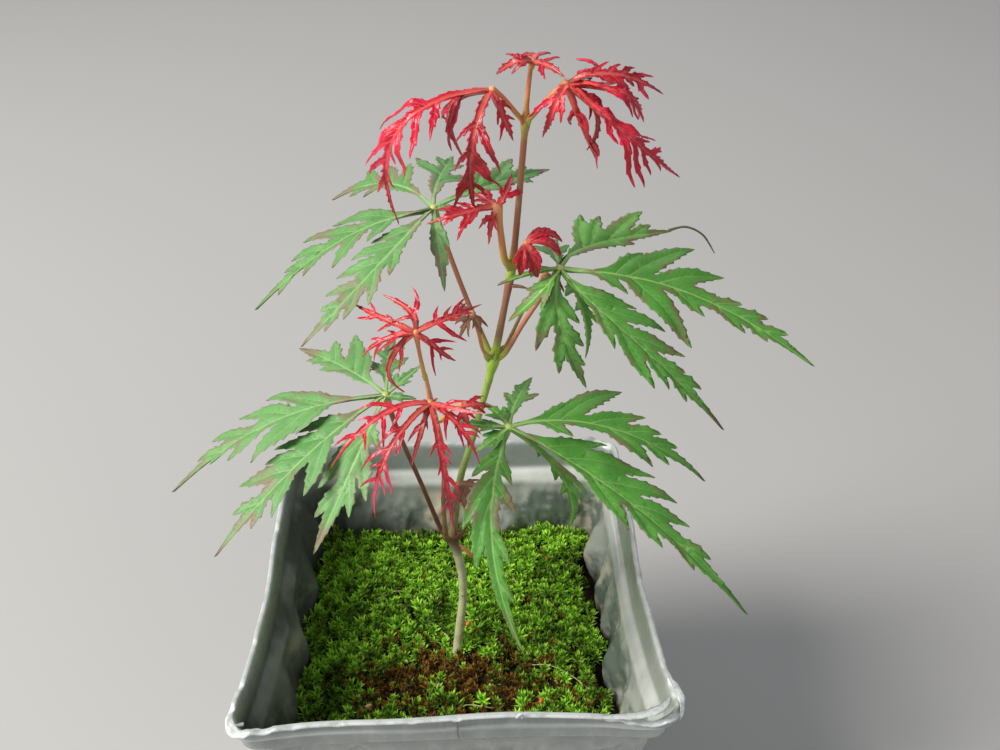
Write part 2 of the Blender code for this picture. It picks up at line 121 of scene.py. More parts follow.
GREEN_LEAVES = {
    "leaf_upper_left": (
        [(8.9, 0.5, 57), (7.9, 1.4, 59.3), (4.0, 4.0, 69), (0.5, 6.4, 79), (-2, 8, 87)],
        [
            lobe((-18, 5, 85), (-36, -6, 73), 1.9, bow=-4, bow_at=0.32, cuts=[
                (0.22, 14, 35), (0.40, 13, 38), (0.57, 8.5, 36), (0.68, 5.5, 33),
                (0.24, 7.5, -40), (0.36, 11, -32), (0.60, 6, -32), (0.76, 5, -22)]),
            lobe((-11, -7, 84), (-26, -19, 73), 2.3, cuts=[
                (0.22, 8.5, 38), (0.34, 9.5, 39), (0.46, 9.5, 37), (0.61, 7, 34), (0.74, 4, 36),
                (0.36, 7, -32), (0.50, 8, -34), (0.61, 7.5, -22), (0.76, 5, -20)]),
            lobe((-1, 1, 83), (0, -4, 75), 1.5, cuts=[
                (0.36, 4, 22), (0.30, 4.5, -26), (0.54, 3.5, -22)]),
            lobe((0, 7.4, 87), (3, 6.8, 87), 0.8, pairs=1),
            lobe((9, 19, 86), (23, 37, 81), 2.6, roll=-25, cuts=[
                (0.30, 12, -28), (0.45, 14, -22), (0.68, 6, -24), (0.36, 7, 24), (0.6, 6, 24)]),
            lobe((-1, 20, 87), (2, 38, 84), 2.2, roll=-10, cuts=[
                (0.34, 13, 38), (0.48, 12, -36), (0.60, 7, 30), (0.7, 6, -30)]),
            lobe((-12, 23, 85), (-25, 36, 75), 2.2, roll=40, cuts=[
                (0.30, 8.5, 52), (0.40, 9.5, 38), (0.56, 8, 34), (0.42, 8, -26), (0.62, 6, -24)]),
        ],
    ),
    "leaf_upper_right": (
        [(10, -0.3, 56.6), (11.8, -1.2, 58.9), (15, -2.2, 66), (18.5, -3.2, 73), (22, -4, 80)],
        [
            lobe((46, -4, 75), (71, -13, 62), 2.5, roll=-35, bow=2.0, bow_at=0.22, cuts=[
                (0.20, 9.5, -52), (0.25, 17.5, -45), (0.36, 14.5, -31), (0.57, 6, -26),
                (0.67, 6.5, -28), (0.77, 5.5, -24), (0.13, 7.5, 34), (0.25, 19, 34),
                (0.41, 8.5, 26), (0.57, 8.5, 18), (0.72, 5, 20)]),
            lobe((37, -17, 72), (51, -27, 58), 2.2, bow=2.8, bow_at=0.32, cuts=[
                (0.17, 12, -40), (0.26, 15.5, -34), (0.44, 12.5, -30), (0.60, 6, -26),
                (0.69, 6.5, -27), (0.27, 9, 33), (0.38, 13.5, 25), (0.54, 8, 24), (0.68, 5.5, 22)]),
            lobe((24, -11, 71), (27, -13, 58), 1.9, bow=2.4, bow_at=0.4, cuts=[
                (0.26, 9.5, 40), (0.48, 8, 28), (0.23, 7.5, -30), (0.44, 7, -27), (0.68, 4, -26)]),
            lobe((18, -8, 77), (12, -7, 70), 1.7, pairs=1),
            lobe((16, -4.4, 79), (10, -3.4, 76), 0.7, pairs=1),
            lobe((21, 3, 80), (20, 9, 80), 1.5, cuts=[(0.35, 5.5, 42), (0.35, 6, -40), (0.6, 3.5, 32)]),
            lobe((31, 6, 79), (47, 17, 76), 2.2, roll=-30, bow=-1.2, bow_at=0.35, cuts=[
                (0.30, 11, -54), (0.36, 11, -42), (0.50, 14, -25), (0.5, 6, 22), (0.7, 6, -20)]),
            lobe((28, 3, 65), (29, 6, 52), 1.3, pairs=2),
        ],
    ),
    "leaf_lower_left": (
        [(-0.8, 0, 7.4), (-2.7, 0.4, 9.0), (-6.5, -3, 26), (-10.5, -8, 45), (-12, -12, 57)],
        [
            lobe((-33, -12, 54), (-54, -21, 41), 2.2, bow=-3.4, bow_at=0.4, cuts=[
                (0.24, 16.5, 37), (0.28, 9, 42), (0.40, 14, 35), (0.59, 10, 32), (0.73, 6.5, 26),
                (0.24, 9, -40), (0.31, 16, -30), (0.50, 10.5, -22), (0.69, 5, -22)]),
            lobe((-28, -25, 51), (-44, -35, 37), 2.2, cuts=[
                (0.21, 10.5, 41), (0.32, 11.5, 40), (0.43, 9.5, 41), (0.52, 12.5, 38),
                (0.70, 6.5, 28), (0.32, 12.5, -32), (0.52, 9.5, -28), (0.67, 6.5, -24)]),
            lobe((-19, -28, 49), (-26, -33, 35), 2.3, cuts=[
                (0.27, 14.5, 20), (0.56, 9, 18), (0.24, 5, -46), (0.36, 10, -33), (0.50, 8, -26)]),
            lobe((-21, -1, 56), (-32, 12, 52), 2.4, roll=20, cuts=[
                (0.24, 9.5, 42), (0.33, 14, 38), (0.55, 8, 38), (0.40, 7.5, -24), (0.6, 6.5, -22)]),
            lobe((-12, 1, 56), (-12, 17, 52), 1.7, pairs=2),
            lobe((-9.5, -13, 57), (-6, -13.5, 57), 0.8, pairs=1),
            lobe((-8.5, -7, 57), (-5, -2, 57), 1.0, pairs=1),
        ],
    ),
    "leaf_lower_right": (
        [(0.4, -0.5, 7.8), (1.7, -2.0, 9.6), (4.6, -6, 21), (9, -11, 38), (12, -14, 50)],
        [
            lobe((34, -30, 42), (56, -43, 26), 2.7, bow=-1.6, bow_at=0.55, cuts=[
                (0.15, 13.5, -48), (0.22, 19.5, -33), (0.36, 17, -32), (0.49, 12.5, -26),
                (0.68, 7.5, -22), (0.32, 13.5, 24), (0.47, 11, 20), (0.66, 7, 18)]),
            lobe((34, -11, 48), (52, -16, 36), 2.3, roll=-25, bow=2.9, bow_at=0.58, cuts=[
                (0.17, 8.5, -44), (0.23, 17.5, -44), (0.37, 12.5, -27), (0.52, 9, -22),
                (0.66, 7, -22), (0.16, 7, 36), (0.45, 12, 24), (0.63, 7, 22)]),
            lobe((8, -31, 36), (14, -43, 16), 1.75, cuts=[
                (0.13, 7, 40), (0.22, 12, 28), (0.31, 14, 15), (0.15, 6, -36), (0.25, 7.5, -38),
                (0.46, 7, -24), (0.66, 5, -22)]),
            lobe((14, -4, 49), (18, 8, 46), 1.8, cuts=[(0.4, 6.5, 36), (0.35, 6, -34), (0.6, 4, -30)]),
            lobe((10, -10, 50), (7.2, -6, 50), 1.0, pairs=1),
            lobe((7, -13.6, 50), (1.5, -12, 50), 1.1, pairs=1),
            lobe((9, -16, 48.6), (5, -17, 46), 1.1, pairs=1),
            lobe((24, -13, 34), (24.5, -13, 20), 1.9, roll=70, pairs=3),
        ],
    ),
}
YOUNG_LEAVES = {
    "young_leaf_shoot_low": (
        [(-3.1, -18.4, 60), (-3.2, -19.6, 60.6), (-3.0, -21.2, 61.6)],
        [
            ((-1, -29, 54), (1, -31, 36), 2.6, 3),
            ((-11, -31, 57), (-14, -31, 42), 1.9, 3),
            ((2.5, -26, 59), (6, -28, 52), 1.7, 2),
            ((2, -25.5, 63), (7, -28, 64), 1.4, 1),
            ((-13, -25, 61), (-22, -29, 52), 1.8, 2),
            ((-5, -25.5, 57), (-7, -26, 50), 1.1, 1),
        ],
    ),
    "young_leaf_shoot_high": (
        [(-3.8, -19.7, 66), (-4.1, -20.3, 68.5), (-4.6, -21, 73), (-5, -22, 78)],
        [
            ((-10, -20, 79), (-17, -12, 78), 1.2, 2),
            ((0, -20, 79), (7, -15, 79), 1.6, 3),
            ((-6, -20, 81), (-11, -16, 82), 1.3, 1),
            ((-11, -22, 76), (-15, -21, 72), 1.4, 2),
            ((-10, -23, 71), (-7.5, -24, 66), 1.1, 1),
            ((-1, -22.5, 74), (2, -20, 70), 1.6, 1),
        ],
    ),
    "young_leaf_top_left": (
        [(15, -0.2, 107.4), (13.4, -0.6, 109.4), (11, -2.4, 113), (9, -4, 115)],
        [
            ((-7, -10, 110), (-8, -3, 89), 2.4, 4),
            ((2, -5, 112), (4, -1, 101), 1.7, 2),
            ((5.5, -11, 107), (6, -2.5, 91), 2.6, 3),
            ((10.5, -6, 112), (13, -3, 105), 2.0, 1),
        ],
    ),
    "young_leaf_top_right": (
        [(15.4, -0.3, 107.6), (16.9, -1.2, 109.6), (19, -2.6, 112.8), (22, -4, 116)],
        [
            ((32, -11, 109), (43, -4, 98), 2.2, 4),
            ((30, -4.5, 117.5), (39, -2.5, 113), 1.8, 3),
            ((27, -2.5, 118), (23.6, -1.5, 119), 1.2, 1),
            ((25, -2, 108), (29, 4, 98), 1.8, 3),
            ((19.5, -8, 113), (18, -4, 106), 1.5, 1),
            ((27, -6, 111), (26, -3, 103), 1.4, 1),
            ((32, -6.5, 114.5), (35.5, 1, 107), 1.6, 2),
        ],
    ),
    "young_leaf_tip": (
        [(16.1, -0.2, 117.1), (16.3, -0.4, 118.6)],
        [
            ((13, -2.4, 119), (10, 1.6, 115.5), 1.3, 1),
            ((19, -4, 118.7), (21.5, -6.5, 117.6), 1.3, 1),
            ((17, 2, 119), (17.5, 5, 117), 0.9, 1),
        ],
    ),
    "young_leaf_joint_left": (
        [(12.6, -0.4, 78.2), (11.4, -1.6, 81), (10.6, -2.8, 88), (10, -4, 93)],
        [
            ((3, -5, 92), (-3, -5, 90), 1.8, 2),
            ((8, -2, 93.5), (5, 0.5, 93.5), 1.3, 1),
            ((9, -4, 89), (8.4, -4, 85), 1.4, 1),
            ((11.5, -3.2, 95), (13, 3.4, 96), 1.1, 1),
        ],
    ),
    "young_leaf_joint_right": (
        [(13.4, -0.4, 78.4), (14.4, -1.4, 80.2), (15, -3.4, 83.6), (15.4, -5, 86)],
        [
            ((18.6, -5.4, 86), (22, -4.8, 82.6), 3.4, 1),
            ((16.4, -6.6, 83.6), (17.6, -6.2, 79), 3.2, 1),
            ((14.6, -6.0, 83), (14.2, -5.8, 79.2), 2.6, 1),
            ((18.6, -3.6, 87), (22.4, -2.6, 84.6), 1.8, 1),
        ],
    ),
    "young_leaf_petiole_side": (
        [(8.6, -0.9, 57.6), (7.2, -2.0, 60.2), (6.2, -3.8, 66), (5, -5, 71)],
        [
            ((3.2, -4.4, 71), (1.4, -3.4, 70.6), 1.0, 1),
            ((4, -5, 68.6), (2.6, -5.6, 65.6), 1.3, 1),
            ((6, -5.6, 69), (7, -6.2, 66.6), 1.0, 1),
        ],
    ),
    "young_leaf_stem_front": (
        [(-1.6, -15.2, 52.4), (1.2, -13.0, 54.2), (2.8, -13.2, 55)],
        [
            ((5.4, -14, 55.4), (8.6, -13, 54), 1.3, 1),
            ((3.4, -14.4, 53), (4.4, -15, 50.6), 1.0, 1),
        ],
    ),
    "young_leaf_low_brown": (
        [(0.4, -0.4, 18), (0.6, -1.5, 21), (1.2, -3.4, 25), (1.4, -5.6, 28)],
        [
            ((4.4, -6.4, 28.4), (8, -7.6, 28), 1.3, 1),
            ((2.6, -6.8, 24.6), (3.4, -8.2, 20), 1.3, 1),
            ((0.6, -7, 24), (-0.4, -8.6, 20.4), 1.1, 1),
        ],
    ),
    "young_leaf_axil": (
        [(19.2, 3.9, 73.4), (20, 3.6, 74.4)],
        [
            ((22, 2.0, 71.4), (22.6, 1.0, 68), 1.2, 1),
            ((19.4, 1.6, 71.4), (18, 0.8, 69), 1.1, 1),
        ],
    ),
}
BROWN_LEAVES = {"young_leaf_petiole_side", "young_leaf_low_brown", "young_leaf_axil"}
THREAD_LEAVES = {"young_leaf_shoot_low", "young_leaf_shoot_high"}
FOLDED_LEAVES = {"young_leaf_joint_right"}


def clamp(value):
    """The value kept between 0 and 1."""
    return min(max(value, 0.0), 1.0)


def from_rim(place):
    """A place in the plant, given in millimetres from the middle of the rim."""
    return Vector(place) * MM + Vector((0, 0, RIM_HEIGHT))


# ---------------------------------------------------------------------------
# Mesh and material helpers
# ---------------------------------------------------------------------------

def add_piece(name, mesh, nodes=(), smooth=True):
    """Put a finished mesh in the scene, riding on the pot, in place of its frame nodes."""
    if smooth:
        mesh.shade_smooth()
    piece = bpy.data.objects.new(name, mesh)
    bpy.context.scene.collection.objects.link(piece)
    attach(piece, BODY)
    if nodes:
        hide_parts(*nodes)
    return piece


def mesh_from(name, points, faces, values=None):
    """A mesh from points in metres, with named per-point values."""
    mesh = bpy.data.meshes.new(name)
    mesh.from_pydata([tuple(p) for p in points], [], [tuple(f) for f in faces])
    for key, numbers in (values or {}).items():
        layer = mesh.attributes.new(key, "FLOAT", "POINT")
        layer.data.foreach_set("value", np.asarray(numbers, dtype=np.float32))
    mesh.validate()
    return mesh


class Graph:
    """A small builder for node trees."""

    def __init__(self, tree):
        self.tree = tree

    def node(self, kind, **settings):
        """Add a node and set it up."""
        made = self.tree.nodes.new(kind)
        for key, value in settings.items():
            setattr(made, key, value)
        return made

    def set(self, node, socket, value):
        """Link a socket, or set a plain number or colour on it."""
        target = node.inputs[socket]
        if isinstance(value, bpy.types.NodeSocket):
            self.tree.links.new(value, target)
        elif isinstance(value, (tuple, list)) and target.type == "RGBA":
            target.default_value = (*value, 1) if len(value) == 3 else value
        else:
            target.default_value = value

    def math(self, operation, a, b=0.0, clamp=False):
        """A sum on two values."""
        made = self.node("ShaderNodeMath", operation=operation, use_clamp=clamp)
        self.set(made, 0, a)
        self.set(made, 1, b)
        return made.outputs[0]

    def times(self, a, b, clamp=False):
        return self.math("MULTIPLY", a, b, clamp)

    def plus(self, a, b, clamp=False):
        return self.math("ADD", a, b, clamp)

    def minus(self, a, b, clamp=False):
        return self.math("SUBTRACT", a, b, clamp)

    def mix(self, factor, a, b):
        """One colour over another."""
        made = self.node("ShaderNodeMix", data_type="RGBA")
        self.set(made, 0, factor)
        self.set(made, 6, a)
        self.set(made, 7, b)
        return made.outputs[2]

    def mask(self, value, low, high, to_low=0.0, to_high=1.0):
        """Smooth step of a value between two limits."""
        made = self.node("ShaderNodeMapRange", interpolation_type="SMOOTHSTEP")
        for socket, number in enumerate((value, low, high, to_low, to_high)):
            self.set(made, socket, number)
        return made.outputs[0]

    def noise(self, scale, detail=3.0, roughness=0.55, where=None):
        """Soft uneven patches, from 0 to 1."""
        made = self.node("ShaderNodeTexNoise")
        self.set(made, "Scale", scale)
        self.set(made, "Detail", detail)
        self.set(made, "Roughness", roughness)
        self.set(made, "Vector", where or self.place())
        return made.outputs["Fac"]

    def place(self):
        """Where the surface is, in the object's own metres."""
        return self.node("ShaderNodeTexCoord").outputs["Object"]

    def stretched(self, across, up):
        """The place squeezed sideways or upwards, for streaks."""
        made = self.node("ShaderNodeVectorMath", operation="MULTIPLY")
        self.set(made, 0, self.place())
        made.inputs[1].default_value = (across, across, up)
        return made.outputs[0]

    def height(self):
        """How high the surface is above the base of the pot, in metres."""
        split = self.node("ShaderNodeSeparateXYZ")
        self.set(split, 0, self.place())
        return split.outputs["Z"]

    def value(self, name):
        """One of the mesh's own per-point values."""
        return self.node("ShaderNodeAttribute", attribute_name=name).outputs["Fac"]

    def ramp(self, value, stops):
        """Colours strung along a value."""
        made = self.node("ShaderNodeValToRGB")
        band = made.color_ramp
        while len(band.elements) < len(stops):
            band.elements.new(0.5)
        for element, (position, colour) in zip(band.elements, stops):
            element.position = position
            element.color = (*colour, 1)
        self.set(made, 0, value)
        return made.outputs[0]

    def use(self, group, **values):
        """Place a shared effect, with this material's own values."""
        made = self.node("ShaderNodeGroup", node_tree=group)
        for key, value in values.items():
            self.set(made, key.replace("_", " "), value)
        return made.outputs

    def bump(self, height, strength, distance):
        """Small relief that is only shaded."""
        made = self.node("ShaderNodeBump")
        self.set(made, "Height", height)
        self.set(made, "Strength", strength)
        self.set(made, "Distance", distance)
        return made.outputs[0]


def effect(name, inputs, outputs):
    """A shared effect with named inputs and outputs, ready to be filled in."""
    tree = bpy.data.node_groups.new(name, "ShaderNodeTree")
    kinds = {"colour": "NodeSocketColor", "value": "NodeSocketFloat"}
    for label, kind, start in inputs:
        socket = tree.interface.new_socket(label, in_out="INPUT", socket_type=kinds[kind])
        socket.default_value = (*start, 1) if kind == "colour" else start
    for label, kind in outputs:
        tree.interface.new_socket(label, in_out="OUTPUT", socket_type=kinds[kind])
    graph = Graph(tree)
    taken = graph.node("NodeGroupInput").outputs
    given = graph.node("NodeGroupOutput")
    return graph, taken, given


def start_material(name):
    """A new material, its node builder and its shader."""
    made = bpy.data.materials.new(name)
    made.use_nodes = True
    graph = Graph(made.node_tree)
    shader = made.node_tree.nodes["Principled BSDF"]
    return made, graph, shader


# ---------------------------------------------------------------------------
# Shared effects
# ---------------------------------------------------------------------------

def make_mottle():
    """Soft patches of a second tone, with finer flecks inside them."""
    graph, taken, given = effect(
        "mottle",
        [("Base", "colour", (0.5, 0.5, 0.5)), ("Patch", "colour", (0.3, 0.3, 0.3)),
         ("Size", "value", 60.0), ("Fleck Size", "value", 600.0), ("Amount", "value", 0.5)],
        [("Colour", "colour"), ("Mask", "value")],
    )
    wide = graph.noise(taken["Size"], 4.0)
    fine = graph.noise(taken["Fleck Size"], 3.0)
    both = graph.plus(graph.times(wide, 0.7), graph.times(fine, 0.3))
    mask = graph.times(graph.mask(both, 0.42, 0.6), taken["Amount"])
    graph.set(given, "Colour", graph.mix(mask, taken["Base"], taken["Patch"]))
    graph.set(given, "Mask", mask)
    return graph.tree


def make_grain():
    """Fine uneven relief in two sizes."""
    graph, taken, given = effect(
        "fine_grain",
        [("Size", "value", 900.0), ("Coarse Size", "value", 200.0), ("Coarse Share", "value", 0.4)],
        [("Height", "value")],
    )
    fine = graph.noise(taken["Size"], 4.0, 0.6)
    coarse = graph.noise(taken["Coarse Size"], 2.0, 0.5)
    share = graph.times(coarse, taken["Coarse Share"])
    graph.set(given, "Height", graph.plus(fine, share))
    return graph.tree


def make_leaf_tissue():
    """Blade colour with pale veins, faint side veinlets and tinted ragged edges."""
    graph, taken, given = effect(
        "leaf_tissue",
        [("Blade", "colour", (0.2, 0.5, 0.1)), ("Deep", "colour", (0.1, 0.3, 0.05)),
         ("Vein", "colour", (0.6, 0.7, 0.3)), ("Edge", "colour", (0.4, 0.2, 0.15)),
         ("Vein Share", "value", 1.0), ("Gap", "value", 1.0), ("Run", "value", 0.0),
         ("Rim", "value", 1.0), ("Strength", "value", 0.5), ("Shade", "value", 0.5),
         ("Edge Width", "value", 0.7), ("Edge Amount", "value", 0.7), ("Vein Amount", "value", 0.7)],
        [("Colour", "colour"), ("Roughness", "value"), ("Height", "value")],
    )
    gap = taken["Gap"]
    main = graph.times(graph.mask(taken["Vein Share"], 1.9, 0.5), taken["Strength"])
    slant = graph.minus(taken["Run"], graph.times(gap, 1.2))
    wave = graph.math("SINE", graph.times(slant, 4.6))
    veinlet = graph.times(graph.mask(wave, 0.8, 1.0), graph.mask(gap, 2.6, 0.4))
    tone = graph.plus(graph.times(graph.noise(300.0, 4.0, 0.6), 0.7),
                      graph.times(taken["Shade"], 0.45))
    blade = graph.mix(graph.mask(tone, 0.3, 0.85), taken["Blade"], taken["Deep"])
    blade = graph.mix(graph.times(veinlet, 0.13), blade, taken["Vein"])
    blade = graph.mix(graph.times(main, taken["Vein Amount"]), blade, taken["Vein"])
    patchy = graph.mask(graph.noise(130.0, 2.0), 0.42, 0.66)
    reach = graph.times(taken["Edge Width"], graph.plus(0.22, patchy))
    ragged = graph.plus(taken["Rim"], graph.times(graph.noise(1100.0, 2.0), -0.3))
    amount = graph.times(graph.plus(0.35, patchy), taken["Edge Amount"])
    edge = graph.times(graph.mask(ragged, reach, -0.15), amount, clamp=True)
    graph.set(given, "Colour", graph.mix(edge, blade, taken["Edge"]))
    rough = graph.plus(0.36, graph.times(graph.noise(1500.0, 2.0), 0.2))
    graph.set(given, "Roughness", rough)
    relief = graph.plus(graph.times(veinlet, -0.5), graph.times(main, -0.5))
    cells = graph.times(graph.noise(2400.0, 3.0), 0.6)
    graph.set(given, "Height", graph.plus(relief, cells))
    return graph.tree


MOTTLE = make_mottle()
GRAIN = make_grain()
LEAF_TISSUE = make_leaf_tissue()


# ---------------------------------------------------------------------------
# Leaves
# ---------------------------------------------------------------------------

def leaf_material(name, blade, deep, vein, edge, edge_width, edge_amount, vein_amount, gloss):
    """A living blade. Its veins and edges follow values carried by the mesh."""
    made, graph, shader = start_material(name)
    tissue = graph.use(
        LEAF_TISSUE, Blade=blade, Deep=deep, Vein=vein, Edge=edge, Vein_Share=graph.value("vein"),
        Gap=graph.value("gap"), Run=graph.value("run"), Rim=graph.value("rim"),
        Strength=graph.value("strength"), Shade=graph.value("shade"), Edge_Width=edge_width,
        Edge_Amount=edge_amount, Vein_Amount=vein_amount,
    )
    graph.set(shader, "Base Color", tissue["Colour"])
    graph.set(shader, "Roughness", graph.times(tissue["Roughness"], gloss))
    graph.set(shader, "Normal", graph.bump(tissue["Height"], 0.5, 0.12 * MM))
    shader.inputs["Specular IOR Level"].default_value = 0.5
    return made


# How a lobe is cut and how it hangs, all in mm and degrees. Auto cuts are for lobes with none listed.
GREEN_HABIT = {
    "stalk": 0.15, "side_width": 0.1, "side_base": 0.35, "bend": 9, "web": 0.055, "auto_angle": 33,
    "auto_length": 2.9, "tooth": 0.45, "tooth_pitch": 2.2, "sag": 0.014, "fold": 0.14,
    "ripple": 0.35, "thickness": 0.2, "grid": 0.75, "midrib": 0.2, "rib": 0.11, "curl": 0.0,
    "droop": 0.0, "uneven": 0.18,
}
YOUNG_HABIT = {
    "stalk": 0.05, "side_width": 0.055, "side_base": 0.22, "bend": 34, "web": 0.03, "auto_angle": 38,
    "auto_length": 7.5, "tooth": 0.32, "tooth_pitch": 1.6, "sag": 0.03, "fold": 0.4,
    "ripple": 0.45, "thickness": 0.2, "grid": 0.5, "midrib": 0.25, "rib": 0.08, "curl": 0.45,
    "droop": 1.0, "uneven": 0.45,
}


# The two leaves at the end of the side shoot are the finest cut of all
THREAD_HABIT = dict(YOUNG_HABIT, side_width=0.035, side_base=0.17, auto_length=8.5, tooth=0.14,
                    tooth_pitch=2.4, droop=0.55, web=0.02, uneven=0.55, curl=0.3)
# Leaves that are still folded: broad, nearly whole and rolled
FOLDED_HABIT = dict(YOUNG_HABIT, side_width=0.16, auto_length=1.3, tooth=0.14, tooth_pitch=1.9, fold=1.1,
                    sag=0.16, droop=0.5, curl=0.2, uneven=0.3)


def blade_width(t, start):
    """Share of the full width, from narrow at its foot to full near the middle and pointed."""
    grown = min(max((t - start) / (1 - start), 0.0), 1.0)
    return 2.9 * grown ** 0.75 * (1 - grown) ** 0.95 * (1 - 0.25 * grown) / 1.28


def toothed_edge(length, half_width, foot, start, side, habit, rng):
    """One margin of a blade, from foot to just before the tip, with forward teeth."""
    count = max(2, round(length * (1 - start) / habit["tooth_pitch"]))
    step = (0.95 - start) / count

    def width(t):
        return foot * (1 - t) + half_width * blade_width(t, start)

    edge = [(-0.2, side * foot)]
    for index in range(count):
        low = start + step * (index + rng.uniform(-0.08, 0.12))
        peak = low + step * 0.82
        room = min(1.0, 1.8 * width(peak) / (half_width + 0.2))
        tooth = habit["tooth"] * rng.uniform(0.5, 1.25) * room
        middle = (low + peak) / 2
        edge.append((low * length, side * width(low)))
        edge.append((middle * length, side * (width(middle) + tooth * 0.35)))
        edge.append((peak * length, side * (width(peak) + tooth)))
    return edge


def blade_outline(length, half_width, foot, start, habit, rng):
    """Closed outline of a pointed blade that runs along +u."""
    left = toothed_edge(length, half_width, foot, start, 1, habit, rng)
    right = toothed_edge(length, half_width, foot, start, -1, habit, rng)
    return left + [(length, 0.0)] + right[::-1]


def bend_out(points, origin, angle, turn, length):
    """Carry a blade's own (u, v) points to where its curved axis leaves the midrib."""
    placed = []
    for u, v in points:
        share = u / length
        heading = angle - turn * share * 0.5
        lean = angle - turn * share
        x = origin + u * math.cos(heading) - v * math.sin(lean)
        y = u * math.sin(heading) + v * math.cos(lean)
        placed.append((x, y))
    return placed


def web_outline(origin, length, body, angle, size, habit):
    """The gusset that joins the outer edge of a side lobe to the body below it."""
    far = size * 0.25
    width = size * habit["side_width"] + habit["side_base"]
    x = origin + far * math.cos(angle) - width * math.sin(angle)
    y = far * math.sin(angle) + width * math.cos(angle)
    back = max(origin - habit["web"] * length - width, 0.2)
    low = min(body * 0.5, 0.5)
    return [(back, 0.0), (origin, 0.0), (origin + far * 0.6, far * 0.5 * math.sin(angle)), (x, y),
            ((x + back) / 2 + 0.12 * far, (y + low) / 2 - 0.16 * far), (back, low)]


def auto_cuts(length, pairs, half_width, habit, rng):
    """Evenly graded side lobes for a lobe that has none listed."""
    cuts = []
    for pair in range(pairs):
        place = 0.24 + 0.5 * pair / pairs
        share = 1 - 0.55 * pair / pairs
        for side in (1, -1):
            size = (habit["auto_length"] * half_width + 0.08 * length) * share
            size *= rng.uniform(1 - habit["uneven"], 1 + 0.8 * habit["uneven"])
            where = place + rng.uniform(-0.03, 0.03) + (0.04 if side > 0 else 0)
            angle = side * (habit["auto_angle"] + 30 * habit["uneven"] * rng.uniform(-1, 1))
            cuts.append((where, min(size, length * (0.94 - where)), angle))
    return cuts


def lobe_plan(length, half_width, cuts, habit, rng):
    """Flat plan of one lobe: outlines of its blades, and its veins as (line, half width)."""
    outlines = [blade_outline(length, half_width, 0.45, habit["stalk"], habit, rng)]
    veins = [([(t * length, 0.0) for t in np.linspace(0, 0.99, max(8, int(length)))], habit["midrib"])]
    for place, size, degrees in cuts:
        side = math.copysign(1, degrees)
        turn = math.radians(habit["bend"])
        angle = math.radians(abs(degrees)) + turn * 0.5
        origin = place * length
        width = size * habit["side_width"] + habit["side_base"]
        blade = blade_outline(size, width, width * 0.7, 0.0, habit, rng)
        axis = [(t * size, 0.0) for t in np.linspace(0, 0.98, max(5, int(size)))]
        placed = bend_out(blade, origin, angle, turn, size)
        web = web_outline(origin, length, half_width, angle, size, habit)
        line = bend_out(axis, origin, angle, turn, size)
        if side < 0:
            placed = [(u, -v) for u, v in placed][::-1]
            web = [(u, -v) for u, v in web][::-1]
            line = [(u, -v) for u, v in line]
        outlines += [placed, web]
        veins.append((line, habit["rib"]))
    return outlines, veins


def inside(points, outline):
    """Which points lie inside an outline."""
    x, y = points[:, 0], points[:, 1]
    hit = np.zeros(len(points), bool)
    ring = np.asarray(outline)
    after = np.roll(ring, -1, axis=0)
    for (x0, y0), (x1, y1) in zip(ring, after):
        if y1 != y0:
            crosses = (y0 > y) != (y1 > y)
            hit ^= crosses & (x < (x1 - x0) * (y - y0) / (y1 - y0) + x0)
    return hit


def gap_to_lines(points, lines):
    """Distance to the nearest of several lines, how far along it, and which share of it."""
    best = np.full(len(points), 1e9)
    run = np.zeros(len(points))
    owner = np.zeros(len(points), int)
    for number, line in enumerate(lines):
        line = np.asarray(line)
        done = 0.0
        for a, b in zip(line, line[1:]):
            span = b - a
            size = float(np.hypot(*span))
            if size < 1e-9:
                continue
            t = np.clip(((points - a) @ span) / size ** 2, 0, 1)
            gap = np.hypot(*(points - a - t[:, None] * span).T)
            closer = gap < best
            best[closer] = gap[closer]
            run[closer] = done + t[closer] * size
            owner[closer] = number
            done += size
    return best, run, owner


def flat_lobe(outlines, lines, spacing):
    """Triangles that cover the lobe's plan, with points along its veins and between them."""
    points, edges, faces = [], [], []
    for outline in outlines:
        start = len(points)
        points.extend(outline)
        faces.append(list(range(start, start + len(outline))))
    for line in lines:
        start = len(points)
        points.extend(line)
        edges.extend((start + i, start + i + 1) for i in range(len(line) - 1))
    ring = np.concatenate([np.asarray(o) for o in outlines])
    low, high = ring.min(axis=0), ring.max(axis=0)
    across = np.arange(low[0], high[0], spacing)
    upward = np.arange(low[1], high[1], spacing * 0.87)
    grid = np.stack(np.meshgrid(across, upward), -1)
    grid[1::2, :, 0] += spacing / 2
    grid = grid.reshape(-1, 2)
    kept = np.zeros(len(grid), bool)
    for outline in outlines:
        kept |= inside(grid, outline)
    grid = grid[kept]
    clear = gap_to_lines(grid, lines)[0] > spacing * 0.3
    points.extend(map(tuple, grid[clear]))
    made = delaunay_2d_cdt([Vector(p) for p in points], edges, faces, 1, 1e-4)
    return np.array([tuple(v) for v in made[0]]), [tuple(f) for f in made[2]]


def open_edges(faces):
    """Edges that only one face uses, in that face's direction."""
    sides = set()
    for a, b, c in faces:
        sides.update(((a, b), (b, c), (c, a)))
    return [(a, b) for a, b in sides if (b, a) not in sides]


